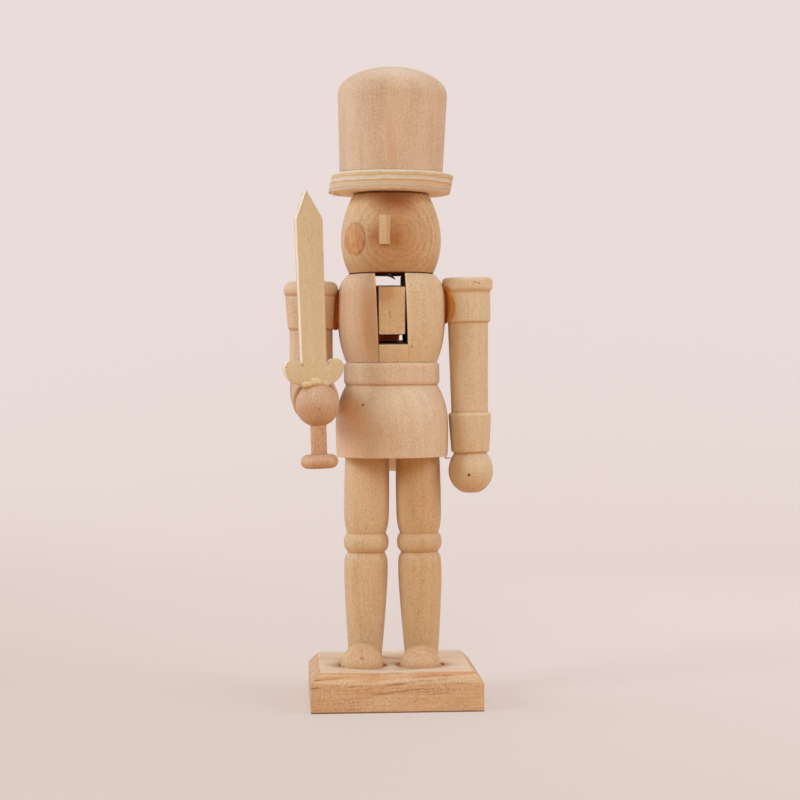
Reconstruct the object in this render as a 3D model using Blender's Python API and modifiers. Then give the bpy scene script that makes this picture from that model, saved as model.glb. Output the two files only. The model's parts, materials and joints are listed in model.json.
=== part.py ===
"""Unpainted nutcracker: a turned wooden figure on a plinth, with a sword and a jaw that works.

The figure stands on the XY plane and faces -Y, so its right hand is at -X. Lengths are in metres.
A turned piece is a profile of (radius, height) points, listed from the top down.
"""

import math

import bmesh
import bpy
from mathutils import Matrix, Vector

MM = 0.001
DEGREE = math.pi / 180

# Fits that every joint shares
GLUE_GAP = 0.3 * MM
DOWEL_FIT = 0.15 * MM
PIN_FIT = 0.05 * MM
DOWEL_RADIUS = 2.0 * MM
DOWEL_DEPTH = 5.5 * MM

# Plinth and feet
BASE_WIDTH = 52.5 * MM
BASE_DEPTH = 50.5 * MM
BASE_HEIGHT = 12.1 * MM
BASE_CHAMFER = 3.2 * MM
FOOT_RADIUS = 6.65 * MM
FOOT_RISE = 0.2 * MM
POCKET_DEPTH = 2.0 * MM
POCKET_MARGIN = 0.8 * MM

# Legs, which splay a little towards the plinth
LEG_LENGTH = 63.9 * MM
HIP_SPACING = 16.1 * MM
ANKLE_SPACING = 18.0 * MM
LEG_SETBACK = 3.5 * MM
HIP_RADIUS = 6.95 * MM
THIGH_RADIUS = 7.15 * MM
KNEE_RADIUS = 7.05 * MM
KNEE_GROOVE_RADIUS = 6.3 * MM
KNEE_HEIGHT = 36.8 * MM
KNEE_BEAD = 5.9 * MM
CALF_RADIUS = 6.95 * MM
CALF_DROP = 7.0 * MM
ANKLE_RADIUS = 5.2 * MM

# Lower body: the coat's skirt with the belt above it
SKIRT_HEIGHT = 22.9 * MM
HEM_RADIUS = 17.6 * MM
SKIRT_RADIUS = 17.9 * MM
SKIRT_PEAK = 8.5 * MM
WAIST_RADIUS = 14.5 * MM
BELT_HEIGHT = 7.0 * MM
BELT_RADIUS = 15.1 * MM

# Chest, with the slot that the jaw works in
CHEST_HEIGHT = 27.5 * MM
CHEST_RADIUS = 17.0 * MM
CHEST_PEAK = 15.2 * MM
NECK_RADIUS = 13.6 * MM
CHEST_DOWEL_SPREAD = 9.6 * MM
SLOT_OFFSET = -0.6 * MM
FILLER_HEIGHT = 5.2 * MM
FILLER_RISE = 1.8 * MM
SHOULDER_FLAT = 0.4 * MM

# Jaw lever, one plank from the jaw to the tail behind the coat
JAW_WIDTH = 8.1 * MM
JAW_SIDE_GAP = 0.5 * MM
JAW_HEIGHT = 14.6 * MM
JAW_DROP_GAP = 3.2 * MM
JAW_RECESS = 0.5 * MM
TAIL_THICKNESS = 5.7 * MM
TAIL_BELOW_HEM = 5.6 * MM
TAIL_SHOULDER = 5.0 * MM
PIVOT_BELOW_SHOULDER = 4.5 * MM
PIVOT_SETBACK = 2.0 * MM
PIN_RADIUS = 1.5 * MM

# Head, nose and hat
HEAD_HEIGHT = 25.2 * MM
HEAD_RADIUS = 15.95 * MM
HEAD_PEAK = 10.4 * MM
CHIN_RADIUS = 13.3 * MM
BROW_RADIUS = 12.0 * MM
NOSE_WIDTH = 3.4 * MM
NOSE_HEIGHT = 8.0 * MM
NOSE_PROUD = 2.0 * MM
NOSE_SUNK = 2.5 * MM
NOSE_LOW = 9.2 * MM
NOSE_TURN = -11 * DEGREE
BRIM_RADIUS = 19.5 * MM
BRIM_THICKNESS = 5.6 * MM
BRIM_EDGE = 0.4 * MM
CROWN_HEIGHT = 34.2 * MM
CROWN_FOOT_RADIUS = 16.5 * MM
CROWN_RADIUS = 17.35 * MM
CROWN_DOME = 8.7 * MM

# Arms: bands are given from the top of each arm down
SHOULDER_BELOW_NECK = 8.8 * MM
RELIEF_TURN = 26 * DEGREE
RELIEF_SETBACK = 1.0 * MM
CAP_EDGE = 1.4 * MM
CUFF_EDGE = 0.8 * MM
LEFT_ARM_BELOW_NECK = 1.1 * MM
LEFT_ARM_LEAN = 1.0 * DEGREE
LEFT_FLAT_DEPTH = 0.75 * MM
LEFT_CAP_RADIUS = 8.0 * MM
LEFT_CAP_HEIGHT = 4.3 * MM
LEFT_SLEEVE_RADIUS = 7.25 * MM
LEFT_SLEEVE_HEIGHT = 9.7 * MM
LEFT_ARM_RADIUS = 6.4 * MM
LEFT_WRIST_RADIUS = 5.8 * MM
LEFT_ARM_HEIGHT = 28.1 * MM
LEFT_CUFF_RADIUS = 6.4 * MM
LEFT_CUFF_HEIGHT = 13.0 * MM
LEFT_HAND_RADIUS = 7.05 * MM
LEFT_HAND_HEIGHT = 12.7 * MM
LEFT_HAND_GROOVE = 0.8 * MM
RIGHT_ARM_BELOW_NECK = 2.2 * MM
RIGHT_FLAT_DEPTH = 0.1 * MM
RIGHT_CAP_RADIUS = 8.6 * MM
RIGHT_CAP_HEIGHT = 4.7 * MM
RIGHT_SLEEVE_TOP_RADIUS = 8.1 * MM
RIGHT_SLEEVE_RADIUS = 7.4 * MM
RIGHT_SLEEVE_HEIGHT = 10.4 * MM
RIGHT_ARM_RADIUS = 6.8 * MM
ELBOW_DROP = 33.9 * MM
FOREARM_DOWN = 10 * DEGREE
FOREARM_INWARD = 4.6 * DEGREE
FOREARM_RADIUS = 6.4 * MM
RIGHT_CUFF_START = 6.0 * MM
RIGHT_CUFF_LENGTH = 13.0 * MM
RIGHT_CUFF_RADIUS = 7.2 * MM
RIGHT_HAND_REACH = 25.6 * MM
RIGHT_HAND_RADIUS = 6.65 * MM
RIGHT_HAND_NECK = 5.2 * MM

# Sword, sawn from plywood, and the peg under the hand
SWORD_LEAN = 2.6 * DEGREE
SWORD_TURN = 17 * DEGREE
SWORD_SEAT = 0.6 * MM
SWORD_OFFSET = 0.5 * MM
BLADE_THICKNESS = 3.4 * MM
BLADE_ROOT_WIDTH = 7.0 * MM
BLADE_SHOULDER_WIDTH = 7.7 * MM
BLADE_LENGTH = 52.5 * MM
BLADE_POINT = 8.0 * MM
GUARD_WIDTH = 19.2 * MM
GUARD_FOOT_WIDTH = 9.6 * MM
GUARD_LOBE_RADIUS = 2.7 * MM
GUARD_LOBE_HEIGHT = 5.0 * MM
GUARD_LOBE_START = -45
GUARD_LOBE_END = 150
GUARD_NOTCH_HEIGHT = 5.8 * MM
TANG_LENGTH = 5.0 * MM
PEG_RADIUS = 2.55 * MM
PEG_STEM_LENGTH = 16.1 * MM
PEG_HEAD_RADIUS = 5.7 * MM
PEG_HEAD_HEIGHT = 4.2 * MM

# Powers of the turned curves above and below their peak; a higher one stays full for longer
THIGH_POWERS = (2, 3.5)
KNEE_POWERS = (2, 2)
CALF_POWERS = (4, 1.3)
BELT_POWERS = (6, 6)
SKIRT_POWERS = (2.4, 2)
CHEST_POWERS = (4.4, 2.4)
HEAD_POWERS = (2, 2)

# How finely curves are divided
TORSO_STEPS = 36
LIMB_STEPS = 24
SMALL_STEPS = 20
DOWEL_STEPS = 12
CURVE_STEPS = 4
EDGE_STEPS = 2
KNOB_STEPS = 6
JAW_FACE_STEPS = 24
MERGE = 0.001 * MM
SHARP_ANGLE = 35 * DEGREE

# Heights and places that follow from the sizes above
LEG_FOOT = BASE_HEIGHT + GLUE_GAP
HEM = LEG_FOOT + LEG_LENGTH + GLUE_GAP
CHEST_FOOT = HEM + SKIRT_HEIGHT + BELT_HEIGHT + GLUE_GAP
NECK = CHEST_FOOT + CHEST_HEIGHT
HEAD_FOOT = NECK + GLUE_GAP
BRIM_FOOT = HEAD_FOOT + HEAD_HEIGHT + GLUE_GAP
CROWN_FOOT = BRIM_FOOT + BRIM_THICKNESS + GLUE_GAP
LEG_SPLAY = math.atan2((ANKLE_SPACING - HIP_SPACING) / 2, LEG_LENGTH)
FOOT_SETBACK = LEG_SETBACK - ANKLE_RADIUS - GLUE_GAP - FOOT_RADIUS
SLOT_WIDTH = JAW_WIDTH + 2 * JAW_SIDE_GAP
SHOULDER_PLANE = CHEST_RADIUS - SHOULDER_FLAT + GLUE_GAP / 2
ARM_PLANE = SHOULDER_PLANE + GLUE_GAP / 2
SHOULDER = NECK - SHOULDER_BELOW_NECK
PIVOT = Vector((SLOT_OFFSET, PIVOT_SETBACK, SHOULDER - PIVOT_BELOW_SHOULDER))
JAW_LOW = CHEST_FOOT + FILLER_HEIGHT + JAW_DROP_GAP
REACH = 2 * (CHEST_HEIGHT + CHEST_RADIUS)
UP = Vector((0, 0, 1))

# Colours of bare wood: red, green, blue, then roughness
WOODS = {
    "turned_wood": (0.66, 0.44, 0.27, 0.62),
    "head_wood": (0.60, 0.37, 0.21, 0.60),
    "pine": (0.70, 0.45, 0.25, 0.66),
    "plywood": (0.74, 0.55, 0.33, 0.70),
    "sword_plywood": (0.70, 0.54, 0.31, 0.70),
    "peg_wood": (0.55, 0.32, 0.17, 0.58),
    "dowel_wood": (0.68, 0.50, 0.33, 0.65),
}


def clear_scene():
    """Removes every object, then makes the collections and the empty that carries the figure."""
    for thing in list(bpy.data.objects):
        bpy.data.objects.remove(thing, do_unlink=True)
    parts = bpy.data.collections.new("unpainted_nutcracker")
    cutters = bpy.data.collections.new("cutters")
    for group in (parts, cutters):
        bpy.context.scene.collection.children.link(group)
    figure = bpy.data.objects.new("figure", None)
    parts.objects.link(figure)
    return parts, cutters, figure


PARTS, CUTTERS, FIGURE = clear_scene()


def wood(piece_name, kind):
    """A plain wood material for one piece."""
    red, green, blue, roughness = WOODS[kind]
    material = bpy.data.materials.new(piece_name)
    material.use_nodes = True
    shader = material.node_tree.nodes["Principled BSDF"]
    shader.inputs["Base Color"].default_value = (red, green, blue, 1)
    shader.inputs["Roughness"].default_value = roughness
    shader.inputs["Metallic"].default_value = 0
    return material


def add_piece(name, mesh, kind):
    """A sub-part of the figure with a wood of its own."""
    piece = bpy.data.objects.new(name, mesh)
    piece.data.materials.append(wood(name, kind))
    piece.parent = FIGURE
    PARTS.objects.link(piece)
    return piece


def add_cutter(name, mesh):
    """A shape that only cuts others."""
    cutter = bpy.data.objects.new(name, mesh)
    cutter.hide_render = True
    cutter.display_type = "WIRE"
    CUTTERS.objects.link(cutter)
    return cutter


def place(thing, location, turn=None):
    """Puts an object at a location, turned by a matrix."""
    thing.location = location
    if turn is not None:
        thing.rotation_euler = turn.to_euler()
    return thing


def cut(piece, cutter):
    """Takes the cutter's shape out of the piece."""
    boolean = piece.modifiers.new("cut_" + cutter.name, "BOOLEAN")
    boolean.operation = "DIFFERENCE"
    boolean.solver = "EXACT"
    boolean.object = cutter


def block_mesh(name, low, high):
    """A block between two corners."""
    low, high = Vector(low), Vector(high)
    shape = bmesh.new()
    spread = Matrix.Translation((low + high) / 2) @ Matrix.Diagonal((*(high - low), 1))
    bmesh.ops.create_cube(shape, size=1, matrix=spread)
    return closed_mesh(name, shape)


def rod_mesh(name, radius, length, steps):
    """A round rod along Z, centred on its origin, its facets turned off the axes."""
    shape = bmesh.new()
    turn = Matrix.Rotation(math.tau / steps / 4, 4, "Z")
    bmesh.ops.create_cone(
        shape, cap_ends=True, segments=steps, radius1=radius, radius2=radius, depth=length, matrix=turn
    )
    return closed_mesh(name, shape)


def closed_mesh(name, shape):
    """Writes a bmesh to a new mesh."""
    mesh = bpy.data.meshes.new(name)
    shape.to_mesh(mesh)
    shape.free()
    return mesh


def plate_mesh(name, outline, thickness):
    """A flat outline given thickness along Z, centred on its plane."""
    curve = bpy.data.curves.new(name, "CURVE")
    curve.dimensions = "2D"
    curve.fill_mode = "BOTH"
    curve.extrude = thickness / 2
    spline = curve.splines.new("POLY")
    spline.points.add(len(outline) - 1)
    for point, (across, along) in zip(spline.points, outline):
        point.co = (across, along, 0, 1)
    spline.use_cyclic_u = True
    drawn = bpy.data.objects.new(name, curve)
    PARTS.objects.link(drawn)
    graph = bpy.context.evaluated_depsgraph_get()
    flat = bpy.data.meshes.new_from_object(drawn.evaluated_get(graph), depsgraph=graph)
    bpy.data.objects.remove(drawn, do_unlink=True)
    shape = bmesh.new()
    shape.from_mesh(flat)
    bmesh.ops.remove_doubles(shape, verts=shape.verts, dist=MERGE)
    bmesh.ops.recalc_face_normals(shape, faces=shape.faces)
    return closed_mesh(name, shape)


def arc(centre, radius, start, end, steps):
    """Points on a circle from one angle to another, in degrees."""
    angles = [(start + (end - start) * step / steps) * DEGREE for step in range(steps + 1)]
    return [(centre[0] + radius * math.cos(a), centre[1] + radius * math.sin(a)) for a in angles]


def swell(start, peak, end, powers):
    """Points from start over peak to end.

    Away from the peak the radius falls by the whole drop times (distance / whole distance) ** power.
    """
    start_power, end_power = powers
    points = []
    for step in range(-CURVE_STEPS, CURVE_STEPS + 1):
        tip, power = (start, start_power) if step < 0 else (end, end_power)
        share = abs(step) / CURVE_STEPS
        radius = peak[0] - (peak[0] - tip[0]) * share**power
        points.append((radius, peak[1] + (tip[1] - peak[1]) * share))
    return points


def drum(top, bottom, edge):
    """A turned band between two (radius, height) corners, with both edges rounded."""
    upper = arc((top[0] - edge, top[1] - edge), edge, 90, 0, EDGE_STEPS)
    lower = arc((bottom[0] - edge, bottom[1] + edge), edge, 0, -90, EDGE_STEPS)
    return upper + lower


def turned(name, profile, steps, kind):
    """A piece turned on a lathe: its profile, closed on the axis, goes once round Z."""
    outline = [(0, profile[0][1]), *profile, (0, profile[-1][1])]
    if profile[0][0] < MERGE:
        outline.pop(0)
    if profile[-1][0] < MERGE:
        outline.pop()
    mesh = bpy.data.meshes.new(name)
    edges = [(index, index + 1) for index in range(len(outline) - 1)]
    mesh.from_pydata([(radius, 0, height) for radius, height in outline], edges, [])
    piece = add_piece(name, mesh, kind)
    screw = piece.modifiers.new("turn", "SCREW")
    screw.steps = steps
    screw.render_steps = steps
    screw.use_merge_vertices = True
    screw.merge_threshold = MERGE
    return piece


def dowel_joint(name, centre, direction, pieces, depth=DOWEL_DEPTH):
    """A dowel glued across a joint, and the hole for it in each piece that it holds."""
    turn = Vector(direction).to_track_quat("Z", "Y").to_matrix()
    peg = rod_mesh(name, DOWEL_RADIUS, 2 * (depth - GLUE_GAP), DOWEL_STEPS)
    place(add_piece(name, peg, "dowel_wood"), centre, turn)
    hole = rod_mesh(name + "_hole", DOWEL_RADIUS + DOWEL_FIT, 2 * depth, DOWEL_STEPS)
    drill = place(add_cutter(name + "_hole", hole), centre, turn)
    for piece in pieces:
        cut(piece, drill)


def make_base():
    """The plinth: a block with its upper edges chamfered."""
    half_width, half_depth = BASE_WIDTH / 2, BASE_DEPTH / 2
    low, high = (-half_width, -half_depth, 0), (half_width, half_depth, BASE_HEIGHT)
    mesh = block_mesh("base_plinth", low, high)
    shape = bmesh.new()
    shape.from_mesh(mesh)
    upper = [edge for edge in shape.edges if all(v.co.z > BASE_HEIGHT / 2 for v in edge.verts)]
    bmesh.ops.bevel(shape, geom=upper, offset=BASE_CHAMFER, segments=1, affect="EDGES")
    shape.to_mesh(mesh)
    shape.free()
    return add_piece("base_plinth", mesh, "pine")


def make_foot(side, name, base):
    """A turned ball with its axis forward, cut flat where it sits in a pocket of the plinth."""
    profile = arc((0, 0), FOOT_RADIUS, 90, -90, 2 * CURVE_STEPS)
    profile = [(abs(radius), height) for radius, height in profile]
    foot = turned(name, profile, SMALL_STEPS, "turned_wood")
    centre = Vector((side * ANKLE_SPACING / 2, FOOT_SETBACK, BASE_HEIGHT + FOOT_RISE))
    place(foot, centre, Matrix.Rotation(90 * DEGREE, 3, "X"))
    pocket_floor = BASE_HEIGHT - POCKET_DEPTH
    reach = 2 * FOOT_RADIUS
    sole = block_mesh(name + "_sole", (-reach, -reach, -reach), (reach, reach, 0))
    cut(foot, place(add_cutter(name + "_sole", sole), (centre.x, centre.y, pocket_floor + GLUE_GAP)))
    pocket = rod_mesh(name + "_pocket", FOOT_RADIUS + POCKET_MARGIN, 2 * POCKET_DEPTH, SMALL_STEPS)
    cut(base, place(add_cutter(name + "_pocket", pocket), (centre.x, centre.y, BASE_HEIGHT)))


def leg_profile():
    """Thigh, knee bead between two grooves, and calf, from the hip down."""
    upper_groove = KNEE_HEIGHT + KNEE_BEAD / 2
    lower_groove = KNEE_HEIGHT - KNEE_BEAD / 2
    thigh_peak = (LEG_LENGTH + upper_groove) / 2
    groove_high = (KNEE_GROOVE_RADIUS, upper_groove)
    groove_low = (KNEE_GROOVE_RADIUS, lower_groove)
    thigh = swell((HIP_RADIUS, LEG_LENGTH), (THIGH_RADIUS, thigh_peak), groove_high, THIGH_POWERS)
    knee = swell(groove_high, (KNEE_RADIUS, KNEE_HEIGHT), groove_low, KNEE_POWERS)
    calf_peak = (CALF_RADIUS, lower_groove - CALF_DROP)
    calf = swell(groove_low, calf_peak, (ANKLE_RADIUS, 0), CALF_POWERS)
    return thigh + knee[1:] + calf[1:]


def make_leg(side, name, base, lower_body):
    """A leg on the plinth, with a dowel at each end."""
    leg = turned(name, leg_profile(), LIMB_STEPS, "turned_wood")
    splay = Matrix.Rotation(-side * LEG_SPLAY, 3, "Y")
    ankle = Vector((side * ANKLE_SPACING / 2, LEG_SETBACK, LEG_FOOT))
    hip = ankle + splay @ Vector((0, 0, LEG_LENGTH))
    axis = splay @ UP
    place(leg, ankle, splay)
    dowel_joint(name.replace("leg", "ankle_dowel"), ankle, axis, (base, leg))
    dowel_joint(name.replace("leg", "hip_dowel"), hip, axis, (leg, lower_body))


def make_lower_body():
    """Belt and skirt in one turning."""
    waist = (WAIST_RADIUS, SKIRT_HEIGHT)
    belt_top = (WAIST_RADIUS, SKIRT_HEIGHT + BELT_HEIGHT)
    belt = swell(belt_top, (BELT_RADIUS, SKIRT_HEIGHT + BELT_HEIGHT / 2), waist, BELT_POWERS)
    skirt = swell(waist, (SKIRT_RADIUS, SKIRT_PEAK), (HEM_RADIUS, 0), SKIRT_POWERS)
    lower_body = turned("lower_body", belt + skirt[1:], TORSO_STEPS, "turned_wood")
    return place(lower_body, (0, 0, HEM))


def chest_blank(name):
    """The whole turned chest, before the slot divides it."""
    top, bottom = (NECK_RADIUS, CHEST_HEIGHT), (WAIST_RADIUS, 0)
    profile = swell(top, (CHEST_RADIUS, CHEST_PEAK), bottom, CHEST_POWERS)
    return place(turned(name, profile, TORSO_STEPS, "turned_wood"), (0, 0, CHEST_FOOT))


def trim(piece, name, low, high, turn=None, at=(0, 0, 0)):
    """Cuts a block between two corners off a piece; the block may be turned about a point."""
    cut(piece, place(add_cutter(name, block_mesh(name, low, high)), at, turn))


def make_chest_half(side, word, lower_body):
    """One side of the chest, cut back at the slot and flat where the arm is glued."""
    name = f"chest_{word}_half"
    half = chest_blank(name)
    wall = SLOT_OFFSET + side * SLOT_WIDTH / 2
    inner = sorted((wall, wall - side * REACH))
    flat = side * (SHOULDER_PLANE - GLUE_GAP / 2)
    outer = sorted((flat, flat + side * REACH))
    trim(half, name + "_slot", (inner[0], -REACH, -REACH), (inner[1], REACH, REACH), None, (0, 0, NECK))
    trim(half, name + "_flat", (outer[0], -REACH, -REACH), (outer[1], REACH, REACH), None, (0, 0, NECK))
    waist = (side * CHEST_DOWEL_SPREAD, 0, CHEST_FOOT)
    dowel_joint(word + "_waist_dowel", waist, UP, (lower_body, half))
    return half


def make_filler():
    """The block that closes the slot below the jaw; its top rises towards the back."""
    filler = chest_blank("chest_filler_block")
    half_width = SLOT_WIDTH / 2 - GLUE_GAP
    for side, name in ((-1, "filler_right"), (1, "filler_left")):
        face = SLOT_OFFSET + side * half_width
        span = sorted((face, face + side * REACH))
        trim(filler, name, (span[0], -REACH, -REACH), (span[1], REACH, REACH), None, (0, 0, NECK))
    slope = Matrix.Rotation(math.atan2(FILLER_RISE, 2 * CHEST_RADIUS), 3, "X")
    front_edge = (0, -CHEST_RADIUS, CHEST_FOOT + FILLER_HEIGHT)
    trim(filler, "filler_top", (-REACH, -REACH, 0), (REACH, 2 * REACH, REACH), slope, front_edge)


def lever_outline():
    """The lever seen from its side: depth and height from the pivot."""
    front = -(CHEST_RADIUS - JAW_RECESS) - PIVOT_SETBACK
    low = JAW_LOW - PIVOT.z
    high = low + JAW_HEIGHT
    tail_front = SKIRT_RADIUS + GLUE_GAP - PIVOT_SETBACK
    tail_back = tail_front + TAIL_THICKNESS
    tail_round = TAIL_THICKNESS / 2
    tail_low = HEM - TAIL_BELOW_HEM - PIVOT.z
    tail_end = arc((tail_front + tail_round, tail_low + tail_round), tail_round, 180, 360, CURVE_STEPS)
    shoulder = arc((tail_back - TAIL_SHOULDER, high - TAIL_SHOULDER), TAIL_SHOULDER, 0, 90, CURVE_STEPS)
    return [(front, high), (front, low), (tail_front, low), *tail_end, *shoulder]


def make_jaw_lever():
    """The lever, its jaw face rounded like the chest, hung on the pivot pin."""
    lever = add_piece("jaw_lever", plate_mesh("jaw_lever", lever_outline(), JAW_WIDTH), "turned_wood")
    place(lever, PIVOT, Matrix.Rotation(90 * DEGREE, 3, "Z") @ Matrix.Rotation(90 * DEGREE, 3, "X"))
    face = arc((0, 0), CHEST_RADIUS - JAW_RECESS, 180, 360, JAW_FACE_STEPS)
    front = -2 * CHEST_RADIUS
    outline = [*face, (face[-1][0], front), (face[0][0], front)]
    rounding = add_cutter("jaw_face", plate_mesh("jaw_face", outline, 2 * JAW_HEIGHT))
    cut(lever, place(rounding, (0, 0, PIVOT.z)))
    return lever


def make_pivot(pieces):
    """The pin across the chest, and its bore in everything that it passes through."""
    along_x = Matrix.Rotation(90 * DEGREE, 3, "Y")
    centre = Vector((0, PIVOT.y, PIVOT.z))
    length = 2 * (SHOULDER_PLANE - 2 * GLUE_GAP)
    pin = rod_mesh("lever_pivot_pin", PIN_RADIUS, length, SMALL_STEPS)
    place(add_piece("lever_pivot_pin", pin, "dowel_wood"), centre, along_x)
    bore = rod_mesh("pivot_bore", PIN_RADIUS + PIN_FIT, 2 * REACH, SMALL_STEPS)
    drill = place(add_cutter("pivot_bore", bore), centre, along_x)
    for piece in pieces:
        cut(piece, drill)


def make_head():
    """The turned head with its mortised nose, a square stick."""
    peak = (HEAD_RADIUS, HEAD_PEAK)
    profile = swell((BROW_RADIUS, HEAD_HEIGHT), peak, (CHIN_RADIUS, 0), HEAD_POWERS)
    head = place(turned("head", profile, TORSO_STEPS, "head_wood"), (0, 0, HEAD_FOOT))
    turn = Matrix.Rotation(NOSE_TURN, 3, "Z")
    half = NOSE_WIDTH / 2
    front, back = -HEAD_RADIUS - NOSE_PROUD, -HEAD_RADIUS + NOSE_SUNK
    stick = block_mesh("nose", (-half, front, 0), (half, back, NOSE_HEIGHT))
    foot = (0, 0, HEAD_FOOT + NOSE_LOW)
    place(add_piece("nose", stick, "turned_wood"), foot, turn)
    room = Vector((GLUE_GAP, GLUE_GAP, GLUE_GAP))
    mortise_low = Vector((-half, front, 0)) - room
    mortise_high = Vector((half, back, NOSE_HEIGHT)) + room
    trim(head, "nose_mortise", mortise_low, mortise_high, turn, foot)
    return head


def make_hat(head):
    """Plywood brim and turned crown, on one dowel from the head."""
    rim = drum((BRIM_RADIUS, BRIM_THICKNESS), (BRIM_RADIUS, 0), BRIM_EDGE)
    brim = place(turned("hat_brim", rim, TORSO_STEPS, "plywood"), (0, 0, BRIM_FOOT))
    shoulder = CROWN_HEIGHT - CROWN_DOME
    stretch = CROWN_DOME / CROWN_RADIUS
    dome = arc((0, 0), CROWN_RADIUS, 90, 0, 2 * CURVE_STEPS)
    dome = [(abs(radius), shoulder + height * stretch) for radius, height in dome]
    crown = turned("hat_crown", [*dome, (CROWN_FOOT_RADIUS, 0)], TORSO_STEPS, "turned_wood")
    place(crown, (0, 0, CROWN_FOOT))
    middle = (0, 0, (BRIM_FOOT + CROWN_FOOT) / 2)
    depth = DOWEL_DEPTH + (CROWN_FOOT - BRIM_FOOT) / 2
    dowel_joint("hat_dowel", middle, UP, (head, brim, crown), depth)


def glue_flat(arm, side, sleeve_top, sleeve_foot):
    """Flattens the inner side of an arm for the chest, with a relief facet on the sleeve's front."""
    face = side * ARM_PLANE
    left, right = sorted((0, -side * REACH))
    trim(arm, arm.name + "_flat", (left, -REACH, -REACH), (right, REACH, REACH), None, (face, 0, SHOULDER))
    low, high = (left, -REACH, sleeve_foot), (right, REACH, sleeve_top)
    relief = Matrix.Rotation(side * RELIEF_TURN, 3, "Z")
    trim(arm, arm.name + "_relief", low, high, relief, (face, RELIEF_SETBACK, 0))


def shoulder_dowel(side, name, pieces):
    """The dowel that holds an arm to the side of the chest."""
    dowel_joint(name, (side * SHOULDER_PLANE, 0, SHOULDER), (side, 0, 0), pieces)


def make_left_arm(chest_half):
    """The straight arm: cap, sleeve, arm, cuff and hand in one turning."""
    sleeve = -LEFT_CAP_HEIGHT
    arm_top = sleeve - LEFT_SLEEVE_HEIGHT
    cuff = arm_top - LEFT_ARM_HEIGHT
    wrist = cuff - LEFT_CUFF_HEIGHT
    hand = wrist - LEFT_HAND_HEIGHT + LEFT_HAND_RADIUS
    profile = drum((LEFT_CAP_RADIUS, 0), (LEFT_CAP_RADIUS, sleeve), CAP_EDGE)
    profile += drum((LEFT_SLEEVE_RADIUS, sleeve), (LEFT_SLEEVE_RADIUS, arm_top), CUFF_EDGE)[EDGE_STEPS:]
    profile += [(LEFT_ARM_RADIUS, arm_top), (LEFT_WRIST_RADIUS, cuff)]
    profile += drum((LEFT_CUFF_RADIUS, cuff), (LEFT_WRIST_RADIUS, wrist), CUFF_EDGE)[1:]
    neck_angle = math.asin((wrist - LEFT_HAND_GROOVE - hand) / LEFT_HAND_RADIUS) / DEGREE
    ball = arc((0, hand), LEFT_HAND_RADIUS, neck_angle, -90, 2 * CURVE_STEPS)
    profile += [(abs(radius), height) for radius, height in ball]
    arm = turned("left_arm", profile, LIMB_STEPS, "turned_wood")
    axis_x = ARM_PLANE + LEFT_CAP_RADIUS - LEFT_FLAT_DEPTH
    top = NECK - LEFT_ARM_BELOW_NECK
    place(arm, (axis_x, 0, top), Matrix.Rotation(-LEFT_ARM_LEAN, 3, "Y"))
    glue_flat(arm, 1, top + sleeve, top + arm_top)
    shoulder_dowel(1, "left_shoulder_dowel", (chest_half, arm))


def make_right_arm(chest_half):
    """Upper arm and forearm, mitred at the elbow, with the hand drilled for the sword and its peg."""
    axis_x = -(ARM_PLANE + RIGHT_CAP_RADIUS - RIGHT_FLAT_DEPTH)
    top = NECK - RIGHT_ARM_BELOW_NECK
    elbow = Vector((axis_x, 0, top - ELBOW_DROP))
    sleeve = -RIGHT_CAP_HEIGHT
    shaft = sleeve - RIGHT_SLEEVE_HEIGHT
    upper = drum((RIGHT_CAP_RADIUS, 0), (RIGHT_CAP_RADIUS, sleeve), CAP_EDGE)
    band = drum((RIGHT_SLEEVE_TOP_RADIUS, sleeve), (RIGHT_SLEEVE_RADIUS, shaft), CUFF_EDGE)
    upper += band[EDGE_STEPS:]
    upper += [(RIGHT_ARM_RADIUS, shaft), (RIGHT_ARM_RADIUS, -ELBOW_DROP - 2 * RIGHT_ARM_RADIUS)]
    upper_arm = turned("right_upper_arm", upper, LIMB_STEPS, "turned_wood")
    place(upper_arm, (axis_x, 0, top))
    glue_flat(upper_arm, -1, top + sleeve, top + shaft)
    shoulder_dowel(-1, "right_shoulder_dowel", (chest_half, upper_arm))

    cuff_end = RIGHT_CUFF_START + RIGHT_CUFF_LENGTH
    neck_angle = math.acos(RIGHT_HAND_NECK / RIGHT_HAND_RADIUS) / DEGREE
    ball = arc((0, RIGHT_HAND_REACH), RIGHT_HAND_RADIUS, 90, -neck_angle, 2 * CURVE_STEPS)
    lower = [(abs(radius), height) for radius, height in ball]
    lower += [(RIGHT_HAND_NECK, cuff_end)]
    lower += drum((RIGHT_CUFF_RADIUS, cuff_end), (RIGHT_CUFF_RADIUS, RIGHT_CUFF_START), CUFF_EDGE)
    lower += [(FOREARM_RADIUS, RIGHT_CUFF_START), (FOREARM_RADIUS, -2 * FOREARM_RADIUS)]
    forearm = turned("right_forearm", lower, LIMB_STEPS, "turned_wood")
    ahead = Matrix.Rotation(FOREARM_INWARD, 3, "Z") @ Matrix.Rotation(90 * DEGREE + FOREARM_DOWN, 3, "X")
    place(forearm, elbow, ahead)

    bisector = (ahead @ UP - UP).normalized()
    mitre = bisector.to_track_quat("Z", "Y").to_matrix()
    gap = GLUE_GAP / 2
    trim(upper_arm, "elbow_below", (-REACH, -REACH, -gap), (REACH, REACH, REACH), mitre, elbow)
    trim(forearm, "elbow_above", (-REACH, -REACH, -REACH), (REACH, REACH, gap), mitre, elbow)
    dowel_joint("elbow_dowel", elbow, bisector, (upper_arm, forearm))
    return forearm, elbow + ahead @ Vector((0, 0, RIGHT_HAND_REACH))


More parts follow.
